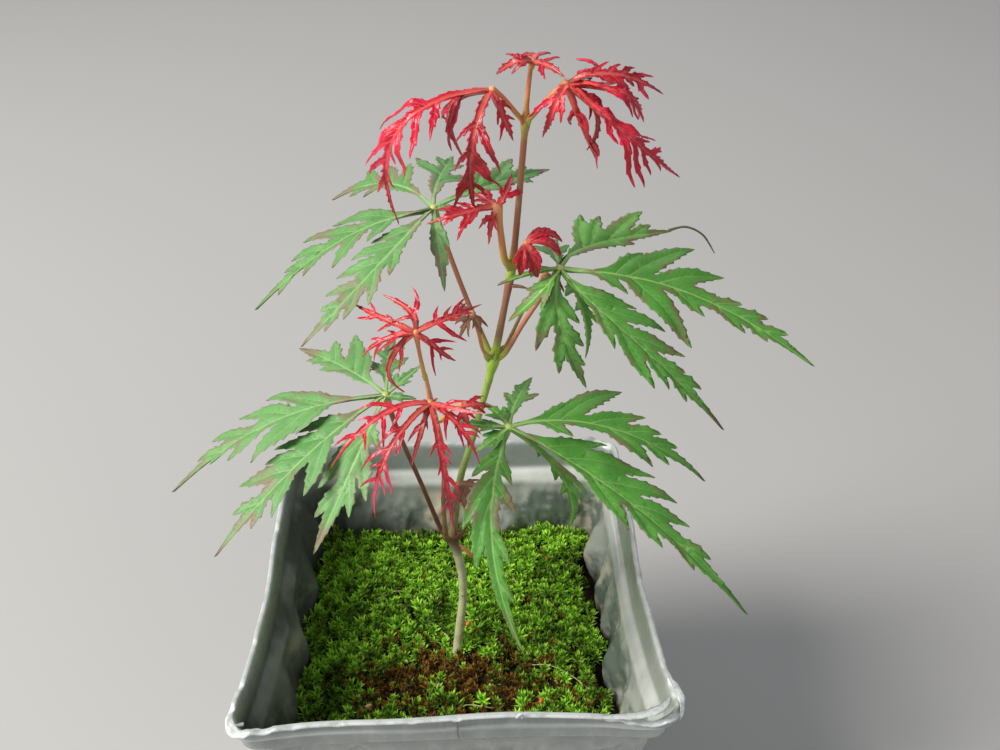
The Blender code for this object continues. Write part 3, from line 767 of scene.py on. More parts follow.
def spine_frames(hub, plan, samples=48):
    """Points, across and up directions along a lobe's midrib, by length."""
    t = np.linspace(0, 1, samples)[:, None]
    hub, middle, tip = (np.array(p) for p in (hub, from_rim(plan["middle"]), from_rim(plan["tip"])))
    route = hub * (1 - t) * (1 - 2 * t) + middle * 4 * t * (1 - t) + tip * t * (2 * t - 1)
    level = np.cross((middle - hub) + (tip - hub), (0, 0, 1.0))
    if np.linalg.norm(level) < 1e-5:
        level = np.array((1.0, 0, 0))
    level /= np.linalg.norm(level)
    power = math.log(0.5) / math.log(plan["bow_at"])
    route = route + level * plan["bow"] * MM * np.sin(math.pi * t ** power)
    along = np.gradient(route, axis=0)
    along /= np.linalg.norm(along, axis=1)[:, None]
    across = level - along * (along @ level)[:, None]
    across /= np.linalg.norm(across, axis=1)[:, None]
    up = np.cross(across, along)
    turn = np.radians(plan["roll"]) * (0.3 + 0.7 * t)
    across = across * np.cos(turn) + up * np.sin(turn)
    runs = np.concatenate([[0], np.cumsum(np.linalg.norm(np.diff(route, axis=0), axis=1))])
    return runs, route, across, np.cross(across, along)


def lobe_arrays(hub, plan, habit, rng):
    """One finished lobe: points in metres, faces and the values its material needs."""
    runs, route, across, up = spine_frames(hub, plan)
    length = runs[-1] / MM
    cuts = plan["cuts"] or auto_cuts(length, plan["pairs"], plan["half_width"], habit, rng)
    outlines, veins = lobe_plan(length, plan["half_width"], cuts, habit, rng)
    flat, faces = flat_lobe(outlines, [line for line, width in veins], habit["grid"])
    gap, run, owner = gap_to_lines(flat, [line for line, width in veins])
    ends = np.array([sum(math.dist(a, b) for a, b in zip(line, line[1:])) for line, width in veins])
    widths = np.array([width for line, width in veins])
    vein_half = widths[owner] * (1 - 0.65 * np.clip(run / ends[owner], 0, 1))
    vein_half *= np.where(owner == 0, 1 + 1.1 * np.exp(-run / 4), 1.0)
    rim = gap_to_lines(flat, [flat[list(edge)] for edge in open_edges(faces)])[0]
    u, v = flat[:, 0], flat[:, 1]
    side = np.abs(v)
    phase = rng.uniform(0, 6)
    lift = habit["fold"] * side * np.exp(-side / 4) - habit["sag"] * side ** 2
    lift += habit["ripple"] * np.sin(u * 0.5 + phase + 0.9 * np.sign(v)) * np.tanh(side / 4)
    lift += 0.25 * np.tanh(gap / 0.8) - 0.1 * np.exp(-((gap / 0.25) ** 2))
    lift += habit["curl"] * np.sin(u * 0.9 + side * 0.7 + phase) * np.tanh(side / 1.5)
    lift *= np.clip(u / 3, 0, 1)
    at = np.clip(u * MM, 0, runs[-1])
    centre = np.stack([np.interp(at, runs, route[:, k]) for k in range(3)], 1)
    sideways = np.stack([np.interp(at, runs, across[:, k]) for k in range(3)], 1)
    upward = np.stack([np.interp(at, runs, up[:, k]) for k in range(3)], 1)
    top = centre + sideways * (v * MM)[:, None] + upward * (lift * MM)[:, None]
    top[:, 2] -= habit["droop"] * 4 * np.tanh(side ** 2 / 40) * MM
    thin = habit["thickness"] * (0.3 + 0.7 * np.tanh(rim / 0.5))
    thin = thin + 1.6 * vein_half * np.exp(-((gap / (vein_half + 0.12)) ** 2))
    under = top - upward * (thin * MM)[:, None]
    count = len(flat)
    walls = []
    for a, b in open_edges(faces):
        walls.append((b, a, a + count))
        walls.append((b, a + count, b + count))
    lower = [(c + count, b + count, a + count) for a, b, c in faces]
    strength = np.where(owner == 0, 1.0, 0.5) * (1 - 0.5 * np.clip(run / ends[owner], 0, 1))
    carried = {"vein": gap / vein_half, "strength": strength, "gap": gap, "run": run,
               "rim": rim + 2.5 * np.exp(-u / 3.5), "shade": np.full(count, rng.random())}
    values = {key: np.tile(numbers, 2) for key, numbers in carried.items()}
    return np.concatenate([top, under]), list(faces) + lower + walls, values


def make_blade(name, hub, lobes, habit, surface, seed):
    """All the lobes of one leaf as one mesh."""
    rng = random.Random(seed)
    points, faces, values = [], [], {}
    done = 0
    for plan in lobes:
        made, sides, every = lobe_arrays(hub, plan, habit, rng)
        points.append(made)
        faces.extend(tuple(i + done for i in f) for f in sides)
        for key, numbers in every.items():
            values.setdefault(key, []).append(numbers)
        done += len(made)
    mesh = mesh_from(name, np.concatenate(points), faces,
                     {key: np.concatenate(parts) for key, parts in values.items()})
    mesh.materials.append(surface)
    return mesh


# ---------------------------------------------------------------------------
# Stalks
# ---------------------------------------------------------------------------

def catmull(a, b, c, d, t):
    """A point between b and c on the smooth curve through a, b, c and d."""
    linear = (c - a) * t
    square = (a * 2 - b * 5 + c * 4 - d) * t * t
    cube = (b * 3 - a - c * 3 + d) * t * t * t
    return b + (linear + square + cube) / 2


def smooth_route(places, radii, step):
    """Points and radii along the smooth curve through the given ones."""
    route, widths = [], []
    last = len(places) - 1
    for i in range(last):
        before, after = places[max(i - 1, 0)], places[min(i + 2, last)]
        parts = max(2, round((places[i + 1] - places[i]).length / step))
        for part in range(parts):
            t = part / parts
            ease = t * t * (3 - 2 * t)
            route.append(catmull(before, places[i], places[i + 1], after, t))
            widths.append(radii[i] + (radii[i + 1] - radii[i]) * ease)
    route.append(places[-1])
    widths.append(radii[-1])
    return route, widths


def stalk_mesh(name, points, surface, sides=14, step=0.6, uneven=0.04, seed=0):
    """A round living stalk: smooth route, slightly uneven section, rounded ends."""
    places = [from_rim(place) for place, radius in points]
    radii = [radius * MM for place, radius in points]
    route, widths = smooth_route(places, radii, step * MM)
    rings = []
    across = Vector((1, 0, 0))
    run = 0.0
    runs = []
    for i, centre in enumerate(route):
        ahead, behind = route[min(i + 1, len(route) - 1)], route[max(i - 1, 0)]
        along = (ahead - behind).normalized()
        across = (across - along * across.dot(along)).normalized()
        up = along.cross(across)
        ring = []
        for side in range(sides):
            angle = 2 * math.pi * side / sides
            offset = across * math.cos(angle) + up * math.sin(angle)
            bump = 1 + uneven * noise.noise((centre + offset * widths[i]) * 700 + Vector((seed, 0, 0)))
            ring.append(centre + offset * widths[i] * bump)
        if i:
            run += (centre - route[i - 1]).length
        rings.append(ring)
        runs.append(run)
    points_out = [p for ring in rings for p in ring]
    values = [r / run for r in runs for _ in range(sides)]
    faces = []
    for i in range(len(rings) - 1):
        for side in range(sides):
            a = i * sides + side
            b = i * sides + (side + 1) % sides
            faces.append((a, b, b + sides, a + sides))
    for ring_start, order in ((0, 1), (len(rings) - 1, -1)):
        centre = route[ring_start]
        other = route[1] if ring_start == 0 else route[-2]
        nose = centre + (centre - other).normalized() * widths[ring_start] * 0.6
        points_out.append(nose)
        values.append(values[ring_start * sides])
        middle = len(points_out) - 1
        for side in range(sides):
            a = ring_start * sides + side
            b = ring_start * sides + (side + 1) % sides
            faces.append((b, a, middle) if order > 0 else (a, b, middle))
    mesh = mesh_from(name, points_out, faces, {"out": values})
    mesh.materials.append(surface)
    return mesh


def add_stalk(name, points, surface, slot_name, nodes=(), **shape):
    """A stalk as a piece of its own. The shape's settings are stalk_mesh's, in mm."""
    return add_piece(name, stalk_mesh(name, points, surface, **shape), nodes)


def stalk_material(name, stops, patch, from_low=None, from_high=None):
    """Young bark: colour along the stalk or by height, faint patches, soft gloss."""
    made, graph, shader = start_material(name)
    if from_low is None:
        along = graph.value("out")
    else:
        along = graph.mask(graph.height(), from_low, from_high)
        along.node.interpolation_type = "LINEAR"
    base = graph.ramp(along, stops)
    mottle = graph.use(MOTTLE, Base=base, Patch=patch, Size=260.0, Fleck_Size=1600.0, Amount=0.45)
    graph.set(shader, "Base Color", mottle["Colour"])
    relief = graph.use(GRAIN, Size=1800.0, Coarse_Size=500.0, Coarse_Share=0.8)["Height"]
    graph.set(shader, "Normal", graph.bump(relief, 0.35, 0.15 * MM))
    graph.set(shader, "Roughness", graph.mask(mottle["Mask"], 0.0, 0.5, 0.42, 0.6))
    return made


# Small things of two tones: colour at the foot, at the point and of the patches
TWO_TONES = {
    "frayed_plastic": ((0.55, 0.57, 0.55), (0.80, 0.82, 0.80), (0.45, 0.47, 0.45)),
    "crack_line": ((0.10, 0.11, 0.10), (0.16, 0.17, 0.16), (0.3, 0.31, 0.3)),
    "green_bud": ((0.36, 0.55, 0.08), (0.50, 0.42, 0.10), (0.3, 0.4, 0.1)),
    "red_bud": ((0.62, 0.30, 0.12), (0.62, 0.04, 0.06), (0.7, 0.2, 0.1)),
    "dry_scale": ((0.16, 0.09, 0.05), (0.36, 0.22, 0.12), (0.08, 0.05, 0.03)),
    "dry_straw": ((0.55, 0.48, 0.22), (0.66, 0.60, 0.32), (0.4, 0.3, 0.12)),
    "seed_husk": ((0.50, 0.36, 0.18), (0.62, 0.50, 0.30), (0.3, 0.2, 0.1)),
    "orange_speck": ((0.75, 0.16, 0.03), (0.80, 0.26, 0.06), (0.5, 0.08, 0.02)),
    "dry_tip": ((0.16, 0.20, 0.06), (0.10, 0.09, 0.04), (0.05, 0.07, 0.02)),
}


def two_tone(name):
    """The stalk material of one row of TWO_TONES."""
    foot, point, patch = TWO_TONES[name]
    return stalk_material(name, [(0.0, foot), (1.0, point)], patch)


# ---------------------------------------------------------------------------
# Pot
# ---------------------------------------------------------------------------

POT_CORNER_RADIUS = 6.0
CORNER_TAPER = 0.22
CORNER_STEPS = 14
SIDE_STEPS = 100
FINE_ROW = 1.1  # mm between rows of points above the moss
COARSE_ROW = 4.0

# Half width and height of the pot's section, in mm from the rim: up the outside, over the
# lip and down the inside
POT_OUTSIDE = [
    (33.6, -88.0), (34.9, -87.8), (35.7, -87.2), (36.0, -86.2), (36.3, -83), (38.8, -48),
    (40.2, -28), (41.2, -14.5), (41.5, -11.5), (41.7, -10.0), (42.3, -9.3), (43.2, -8.8),
    (43.5, -8.2), (43.6, -6.4), (43.7, -4.9), (43.85, -4.5), (44.25, -4.2), (44.3, -3.95),
    (43.95, -3.6), (43.9, -3.2), (44.0, -2.0), (44.15, -1.3), (44.7, -1.0), (45.05, -0.75),
    (45.1, -0.4), (44.9, -0.1),
]
POT_INSIDE = [
    (44.75, 0.0), (44.4, 0.0), (44.05, -0.1), (43.85, -0.35), (43.75, -0.8), (43.45, -2.2),
    (42.85, -6.0), (42.6, -7.4), (42.35, -7.9), (41.9, -8.2), (41.3, -8.9), (40.8, -9.7),
    (40.55, -10.2), (40.3, -10.5), (40.15, -11.4), (39.85, -15), (39.4, -21), (38.6, -31),
    (36.9, -54), (35.3, -76), (35.0, -82), (34.7, -84.6), (33.8, -86.2), (32.6, -86.6),
]


def fine_section(section):
    """The section with points added where its straight runs are long."""
    made = [section[0]]
    for (half, height), (next_half, next_height) in zip(section, section[1:]):
        limit = FINE_ROW if max(height, next_height) > -34 else COARSE_ROW
        parts = max(1, math.ceil(abs(next_height - height) / limit))
        for part in range(1, parts + 1):
            share = part / parts
            made.append((half + (next_half - half) * share, height + (next_height - height) * share))
    return made


def square_point(half, index):
    """A point on the rounded square and its outward direction.

    The count starts at the lower end of the +X side and goes anticlockwise.
    """
    radius = POT_CORNER_RADIUS - (RIM_HALF / MM - half) * CORNER_TAPER
    middle = half - radius
    side, step = divmod(index, CORNER_STEPS + SIDE_STEPS)
    if step < SIDE_STEPS:
        x, y = half, (-1 + 2 * step / SIDE_STEPS) * middle
        normal = (1.0, 0.0)
    else:
        angle = math.radians(90) * (step - SIDE_STEPS) / CORNER_STEPS
        x = middle + radius * math.cos(angle)
        y = middle + radius * math.sin(angle)
        normal = (math.cos(angle), math.sin(angle))
    turn = math.radians(90 * side)
    c, s = math.cos(turn), math.sin(turn)
    place = (x * c - y * s, x * s + y * c)
    outward = (normal[0] * c - normal[1] * s, normal[0] * s + normal[1] * c)
    return place, outward


def soft_shape(x, y, height):
    """Where a place on the square pot has moved to as the thin walls went out of square.

    The side walls lean in behind the middle and the front corners are pulled out and down.
    """
    lean = clamp((height + 88) / 88) ** 1.5
    front = clamp((-8 - y) / 37)
    back = clamp(y / 45)
    corner = (x / 45) ** 4
    spread = -0.045 + 0.105 * front ** 1.6 + 0.012 * back
    reach = 0.035 * corner * front - 0.02 * back
    return x * (1 + lean * spread), y * (1 + lean * reach), height - 1.5 * lean ** 3 * corner * front


# Buckles in the walls: middle (x, y, height), size along and up, how far they push in, in mm
BUCKLES = [
    ((40, 24, -22), 4, 8, 4.0), ((40, 31, -20), 3, 8, -1.0), ((40, 12, -26), 3.5, 8, 2.8),
    ((40, 3, -25), 3, 8, 2.2), ((40, -3, -20), 3, 7, -1.4), ((40, -12, -26), 4.5, 9, 3.6),
    ((40, -20, -20), 3, 8, -1.4), ((40, -29, -26), 5, 12, 3.4), ((40, 18, -19), 2.5, 6, -1.2),
    ((-40, 29, -20), 4, 10, 2.2), ((-40, 14, -22), 5, 9, 3.0),
    ((-40, 4, -22), 3.5, 9, -1.2), ((-40, -7, -22), 5, 10, 2.6), ((-40, -16, -20), 3, 8, -1.0),
    ((-40, -26, -24), 6, 10, 1.8), ((-14, 40, -22), 6, 7, 1.6), ((4, 40, -19), 5, 7, -1.2),
    ((14, 40, -24), 4, 6, 1.8), ((25, 40, -21), 6, 7, 1.4), ((-28, 40, -24), 5, 8, 1.6),
    ((-4, 40, -26), 4, 6, 1.2), ((-20, -40, -24), 9, 9, 1.2), ((12, -40, -26), 10, 10, 1.0),
    ((-12, 40, -52), 14, 14, 1.0), ((16, -40, -56), 14, 16, 1.2), ((40, 6, -54), 14, 14, 1.1),
    ((-40, -8, -58), 14, 14, 1.0),
]


def wall_push(x, y, height):
    """How far the thin wall is pushed in, in mm."""
    push = 0.0
    for (bx, by, bz), along, up, depth in BUCKLES:
        reach = ((x - bx) ** 2 + (y - by) ** 2) / along ** 2 + (height - bz) ** 2 / up ** 2
        if reach < 9:
            push += depth * math.exp(-reach)
    place = Vector((x, y, height * 0.6))
    push += 0.9 * noise.noise(place * 0.085)
    crease = 1 - abs(noise.noise(place * 0.14 + Vector((9, 0, 0)))) * 2.4
    pleat = 1 - abs(noise.noise(Vector((x, y, height * 0.35)) * 0.3 + Vector((0, 7, 0)))) * 2.4
    push += 0.7 * max(crease, 0) ** 3 + 0.45 * max(pleat, 0) ** 3 * clamp((height + 36) / 8)
    return push * clamp((-10.5 - height) / 5) * clamp((height + 86) / 12)


def hidden_push(push, height, lining):
    """The push with its deep part taken off where the soil fills the pot."""
    filled = clamp((-30 - height) / 5) if lining else clamp((-25.5 - height) / 4)
    return push * (1 - filled) + 0.25 * math.tanh(push) * filled


def rim_shift(x, y, height):
    """Small bends of the lip and band: (outward shift, rise) in mm."""
    near_top = clamp((height + 10) / 8)
    wave = noise.noise(Vector((x, y, 3.0)) * 0.05)
    fine = noise.noise(Vector((x, y, 9.0)) * 0.3)
    out = 0.8 * wave + 0.09 * fine
    rise = 0.5 * wave + 0.07 * fine
    if y < -38:
        rise += 0.7 * math.exp(-(((x - 8) / 17) ** 2)) - 0.9 * math.exp(-(((x - 35) / 5) ** 2))
    return out * near_top, rise * near_top


# Chips out of the lip: place (x, y), half width and depth in mm
CHIPS = [
    ((-43, -43), 2.4, 1.5), ((-36, -45), 1.2, 0.9), ((-40, -45.2), 0.8, 0.9),
    ((-45, -38.5), 1.0, 1.1), ((-45, -33), 0.8, 0.6), ((-30.5, -45), 0.7, 0.4),
    ((-22, -45), 0.8, 0.3), ((29.5, -45), 0.8, 0.5), ((33, -45.2), 0.8, 0.9), ((45, -31), 0.9, 0.5),
    ((45, -23), 0.7, 0.3), ((-8, -45), 0.7, 0.3), ((37, -45), 2.4, 1.2), ((44, -37), 1.8, 0.9),
    ((41, 43), 2.2, 1.3), ((34, 45), 1.5, 0.8), ((44, 34), 1.4, 0.7), ((-45, 12), 1.2, 0.4),
    ((0.5, -45), 0.6, 0.5), ((45, -8), 1.3, 0.4), ((-12, 45), 1.4, 0.4), ((-45, -22), 0.9, 0.4),
]


def chip_drop(x, y, height):
    """How far a broken lip is below where it should be, in mm."""
    drop = 0.0
    for (cx, cy), reach, depth in CHIPS:
        gap = math.hypot(x - cx, y - cy) / reach
        if gap < 1.5:
            jag = 1 + 0.5 * noise.noise(Vector((x, y, 0)) * 1.3)
            drop = max(drop, depth * jag * max(0.0, 1 - gap ** 3 / 3))
    return drop * clamp((height + 2.4) / 2.2)


def make_pot():
    """Thin square pot with a scuffed, chipped lip and crumpled walls."""
    outside, lining = fine_section(POT_OUTSIDE), fine_section(POT_INSIDE)
    section = outside + lining
    count = 4 * (CORNER_STEPS + SIDE_STEPS)
    points, values = [], {"lip": [], "inside": [], "painted_shade": [], "far": []}
    for row, (half, height) in enumerate(section):
        lining_here = 1.0 if row >= len(outside) else 0.0
        for index in range(count):
            (x, y), (nx, ny) = square_point(half, index)
            out, rise = rim_shift(x, y, height)
            drop = chip_drop(x, y, height)
            out -= hidden_push(wall_push(x, y, height), height, lining_here)
            x, y, lowered = soft_shape(x + nx * out, y + ny * out, height + rise - drop)
            points.append((x * MM, y * MM, RIM_HEIGHT + lowered * MM))
            edge = 0.55 if lining_here else clamp((half - 44.2) / 0.5)
            # Painted shade for the inner wall: strong on the left side from just below the lip down, and
            # a little on every side low down by the moss
            shade_amount = clamp((-2 - height) / 5) * clamp(0.05 - x / 42) + 0.3 * clamp((-20 - height) / 5)
            values["lip"].append(clamp((height + 1.1) / 0.5) * edge + 0.7 * min(drop, 1.0))
            values["inside"].append(lining_here)
            values["painted_shade"].append(lining_here * min(shade_amount, 1.0))
            values["far"].append(lining_here * clamp((y - 36) / 4))
    faces = []
    for row in range(len(section) - 1):
        for index in range(count):
            a = row * count + index
            b = row * count + (index + 1) % count
            faces.append((a, b, b + count, a + count))
    added = close_pot(points, faces, count, 0, 0.0, True)
    added += close_pot(points, faces, count, len(section) - 1, 1.4 * MM, False)
    values = {key: numbers + [0.0] * added for key, numbers in values.items()}
    mesh = mesh_from("nursery_pot", points, faces, values)
    surface = pot_material()
    mesh.materials.append(surface)
    add_piece("nursery_pot", mesh, ["pot"])
    make_torn_bits(surface)


DRAINS = [(21, 11.55), (21, -11.55), (-21, 11.55), (-21, -11.55),
          (11.55, 21), (11.55, -21), (-11.55, 21), (-11.55, -21)]


def foot_recess(x, y):
    """How far the underside is raised: drain holes, and channels that lead out from them."""
    for cx, cy in DRAINS:
        if math.hypot(x - cx, y - cy) < 1.9:
            return 1.2
    near, far = sorted((abs(x), abs(y)))
    return 0.7 * clamp((2.7 - abs(far - 27)) / 0.5) * clamp((15.2 - near) / 0.5)


def close_pot(points, faces, count, row, height, facing_down):
    """Close the foot or the floor with rings inside one row. Returns how many points it added."""
    before = len(points)
    outer = [row * count + i for i in range(count)]
    edge = [points[i] for i in outer]
    rings = 26 if facing_down else 4
    for share in (1 - step / rings for step in range(1, rings)):
        ring = list(range(len(points), len(points) + count))
        for x, y, _ in edge:
            x, y = x * share, y * share
            points.append((x, y, height + (foot_recess(x / MM, y / MM) * MM if facing_down else 0.0)))
        for i in range(count):
            a, b, c, d = outer[i], outer[(i + 1) % count], ring[(i + 1) % count], ring[i]
            faces.append((b, a, d, c) if facing_down else (a, b, c, d))
        outer = ring
    points.append((0, 0, height))
    centre = len(points) - 1
    for i in range(count):
        a, b = outer[i], outer[(i + 1) % count]
        faces.append((b, a, centre) if facing_down else (a, b, centre))
    return len(points) - before


LEDGE_BAND = ((-12.5, -10.8), (-7.2, -8.5))  # where it fades in and where it fades out again
RIDGE_BAND = ((-5.8, -4.6), (-3.0, -4.2))


def from_height(graph, start, end, *shares):
    """A smooth step between two heights, in mm from the rim."""
    return graph.mask(graph.height(), RIM_HEIGHT + start * MM, RIM_HEIGHT + end * MM, *shares)


def height_band(graph, fade_in, fade_out):
    """1 in a band of height and 0 beyond it."""
    return graph.times(from_height(graph, *fade_in), from_height(graph, *fade_out))


def pot_material():
    """Milky grey plastic: cloudy patches with streaks of painted sheen, a whitened lip, an inside
    painted lighter, painted highlights on the ledge and the outside ridge, dark and pale patches of
    painted shade and highlight low inside, and painted shade on the left and lower inner wall.
    """
    made, graph, shader = start_material("cloudy_plastic")
    inside, far = graph.value("inside"), graph.value("far")

    # Cloudy plastic with faint pale streaks of painted sheen that run downwards
    cloud = graph.use(MOTTLE, Base=(0.225, 0.25, 0.235), Patch=(0.31, 0.335, 0.315),
                      Size=28.0, Fleck_Size=200.0, Amount=0.6)
    streaks = graph.noise(210.0, 5.0, 0.65, graph.stretched(1.0, 0.3))
    colour = graph.mix(graph.mask(streaks, 0.46, 0.68, 0.0, 0.25), cloud["Colour"], (0.50, 0.53, 0.51))
    # Painted light: the whole inside is made lighter than the outside, for the lit inner walls
    colour = graph.mix(graph.times(inside, 0.4), colour, (0.50, 0.51, 0.45))

    # The ledge inside is painted pale as a highlight on its upward face, unevenly and most of all along
    # the back, where the band above it is dark
    ledge_highlight = graph.mask(graph.noise(45.0, 3.0), 0.35, 0.6, 0.1, 0.6)
    ledge_highlight = graph.plus(ledge_highlight, graph.times(far, 0.35), clamp=True)
    ledge = graph.times(height_band(graph, *LEDGE_BAND), inside)
    colour = graph.mix(graph.times(ledge, ledge_highlight), colour, (0.74, 0.75, 0.70))
    above = graph.times(from_height(graph, -8.5, -6.5, 0.0, 0.55), far)
    colour = graph.mix(graph.times(above, 0.9), colour, (0.17, 0.22, 0.20))

    # Soil stains, then between the ledge and the moss dark patches of painted shade and pale patches of
    # painted highlight, as on glossy bumps
    stain = graph.mask(graph.noise(150.0, 4.0, 0.65), 0.52, 0.72)
    colour = graph.mix(graph.times(stain, 0.25), colour, (0.15, 0.16, 0.14))
    below_ledge = graph.times(from_height(graph, -12.5, -15.0), inside)
    shade_patch = graph.mask(graph.noise(62.0, 4.0, 0.6), 0.44, 0.56, 0.0, 0.85)
    colour = graph.mix(graph.times(below_ledge, shade_patch), colour, (0.095, 0.135, 0.11))
    pale = graph.times(graph.mask(graph.noise(88.0, 3.0), 0.50, 0.60), 0.85)
    colour = graph.mix(graph.times(below_ledge, pale), colour, (0.62, 0.57, 0.44))
    # Painted shade darkens the inner wall on the left and low down, and takes the gloss and the coat off
    # there
    painted_shade = graph.times(graph.value("painted_shade"), graph.mask(graph.noise(60.0, 3.0), 0.3, 0.6, 0.65, 1.0))
    colour = graph.mix(painted_shade, colour, (0.045, 0.055, 0.04))

    # Scuffs whiten the lip, and a painted highlight whitens the ridge of the outside band
    scuff_and_highlight = graph.mask(graph.noise(260.0, 6.0, 0.75), 0.30, 0.62, 0.25, 0.95)
    scuff_and_highlight = graph.times(graph.value("lip"), scuff_and_highlight, clamp=True)
    ridge = graph.times(height_band(graph, *RIDGE_BAND), 0.45)
    scuff_and_highlight = graph.plus(scuff_and_highlight, graph.times(ridge, graph.minus(1.0, inside)), clamp=True)
    graph.set(shader, "Base Color", graph.mix(scuff_and_highlight, colour, (0.74, 0.77, 0.76)))

    rough = graph.mask(graph.noise(120.0, 4.0), 0.35, 0.7, 0.08, 0.28)
    rough = graph.plus(rough, graph.times(painted_shade, 0.6))
    graph.set(shader, "Roughness", graph.plus(rough, graph.times(scuff_and_highlight, 0.25)))
    graph.set(shader, "Coat Weight", graph.minus(0.5, graph.times(painted_shade, 0.5), clamp=True))
    relief = graph.use(GRAIN, Size=700.0, Coarse_Size=110.0, Coarse_Share=2.0)["Height"]
    graph.set(shader, "Normal", graph.bump(relief, 0.22, 0.4 * MM))
    shader.inputs["Specular IOR Level"].default_value = 0.5
    shader.inputs["Coat Roughness"].default_value = 0.12
    return made


# Loose bits of the lip: points (x, y, height) with half width, in mm
TORN_FLAP = [((28, -45.3, -0.2), 0.5), ((32, -45.5, 0.1), 0.9), ((36, -45.7, 0.5), 1.25),
             ((39.5, -45.4, 1.1), 1.3), ((42.2, -44.4, 1.9), 1.0), ((43.4, -43.2, 2.6), 0.3)]
TORN_EDGE = [((44.6, -36, 0.1), 0.3), ((45.6, -39, 0.6), 0.8), ((46.1, -41.6, 0.3), 0.9),
             ((46.0, -43.8, -0.9), 0.5), ((45.5, -45, -2.2), 0.15)]
LIP_TUFTS = [[(12.4, -45.0, 0.2), (12.8, -45.3, 1.3), (13.7, -45.1, 1.7)],
             [(13.4, -45.0, 0.2), (13.3, -45.2, 1.1), (12.7, -45.4, 1.5)],
             [(-42.5, -43.6, -1.0), (-43.8, -44.4, -0.2), (-45.0, -44.0, 0.4)]]
CRACK = [(0.2, -45.1, -0.5), (0.5, -45.0, -1.6), (0.3, -44.3, -3.0), (0.6, -44.3, -4.4),
         (0.4, -44.0, -5.8), (0.7, -43.9, -7.4)]
# The torn strip's section, as shares of its half width and of its thickness
STRIP_SECTION = ((-1, 0), (-0.6, 0.5), (0, 0.6), (0.6, 0.5),
                 (1, 0), (0.6, -0.5), (0, -0.6), (-0.6, -0.5))


def ribbon_mesh(name, places, thickness, surface, tilt):
    """A thin torn strip with ragged edges and rounded faces."""
    centres, half_widths = [from_rim(p) for p, w in places], [w * MM for p, w in places]
    route, widths = smooth_route(centres, half_widths, 0.35 * MM)
    sides = len(STRIP_SECTION)
    points, faces = [], []
    lean = Vector((0, math.sin(math.radians(tilt)), math.cos(math.radians(tilt))))
    for i, centre in enumerate(route):
        ahead, behind = route[min(i + 1, len(route) - 1)], route[max(i - 1, 0)]
        along = (ahead - behind).normalized()
        across = along.cross(lean).normalized()
        up = across.cross(along)
        ragged = 1 + 0.35 * noise.noise(centre * 900)
        for side, rise in STRIP_SECTION:
            points.append(centre + across * widths[i] * side * ragged + up * thickness * MM * rise)
    for i in range(len(route) - 1):
        for k in range(sides):
            a, b = i * sides + k, i * sides + (k + 1) % sides
            faces.append((a, b, b + sides, a + sides))
    last = (len(route) - 1) * sides
    faces += [tuple(range(sides - 1, -1, -1)), tuple(range(last, last + sides))]
    mesh = mesh_from(name, points, faces, {"lip": [0.75] * len(points), "inside": [0.0] * len(points)})
    mesh.materials.append(surface)
    return mesh


def make_torn_bits(surface):
    """The lip's torn flap and frayed corner, its whitish tufts and the crack in the front band."""
    for name, places, tilt in (("lip_flap", TORN_FLAP, 20), ("lip_torn_edge", TORN_EDGE, -10)):
        add_piece(name, ribbon_mesh(name, places, 0.4, surface, tilt))
    pale, dark = two_tone("frayed_plastic"), two_tone("crack_line")
    for number, places in enumerate(LIP_TUFTS):
        route = list(zip(places, (0.35, 0.28, 0.1)))
        add_stalk(f"lip_tuft_{number + 1}", route, pale, "pot_plastic", sides=9, step=0.2, uneven=0.5,
                  seed=number)
    route = [(place, 0.13) for place in CRACK]
    add_stalk("front_crack", route, dark, "pot_plastic", sides=8, step=0.4, uneven=0.3, seed=5)


# ---------------------------------------------------------------------------
# Moss and soil
# ---------------------------------------------------------------------------

MOSS_HALF = 38.6  # mm
MOSS_CORNER = 6.0  # mm, radius of the moss's corners
SHOOT_PITCH = 1.36  # mm between shoots
MOSS_LEVEL = (MOSS_HIGH.z - RIM_HEIGHT) / MM - 1.4
WALL_LEVEL = -25.0  # height of the wall beside the moss, mm from the rim


def moss_level(x, y):
    """Height of the moss bed, in mm from the rim: cushions, a little higher at the back."""
    cushions = 1.9 * noise.noise(Vector((x, y, 0)) * 0.1) + 1.5 * noise.noise(Vector((x, y, 5)) * 0.27)
    return MOSS_LEVEL + cushions + 0.03 * y - 0.6 * brown_share(x, y)


def wall_line(x, y):
    """How far inside the crumpled wall a place on the moss is, in mm."""
    half = MOSS_HALF + 0.6
    gaps = []
    for wx, wy, along in ((half, y, x), (-half, y, -x), (x, half, y), (x, -half, -y)):
        gaps.append(half - along - wall_push(wx * 1.02, wy * 1.02, WALL_LEVEL))
    cx, cy = abs(x) - (half - MOSS_CORNER), abs(y) - (half - MOSS_CORNER)
    if cx > 0 and cy > 0:
        gaps.append(MOSS_CORNER - math.hypot(cx, cy))
    torn_gap = 2.6 * math.exp(-(((x - 37) / 5) ** 2 + ((y - 18) / 6) ** 2))
    shy = 1.9 * clamp((x - 22) / 8) + 1.3 * clamp((y - 26) / 6) * clamp((8 - x) / 20)
    return min(gaps) - torn_gap - shy


def brown_share(x, y):
    """How brown and thin the moss is here: an old patch in front of the stem."""
    patch = math.exp(-((((x - 3) / 28) ** 2 + ((y + 15) / 13) ** 2) ** 2))
    spot = 0.6 * math.exp(-(((x + 5) / 3.0) ** 2 + ((y - 9) / 2.6) ** 2))
    ragged = 0.6 * noise.noise(Vector((x, y, 2)) * 0.2)
    return clamp(patch * (0.95 + 1.4 * ragged) + spot + 0.12 * ragged)


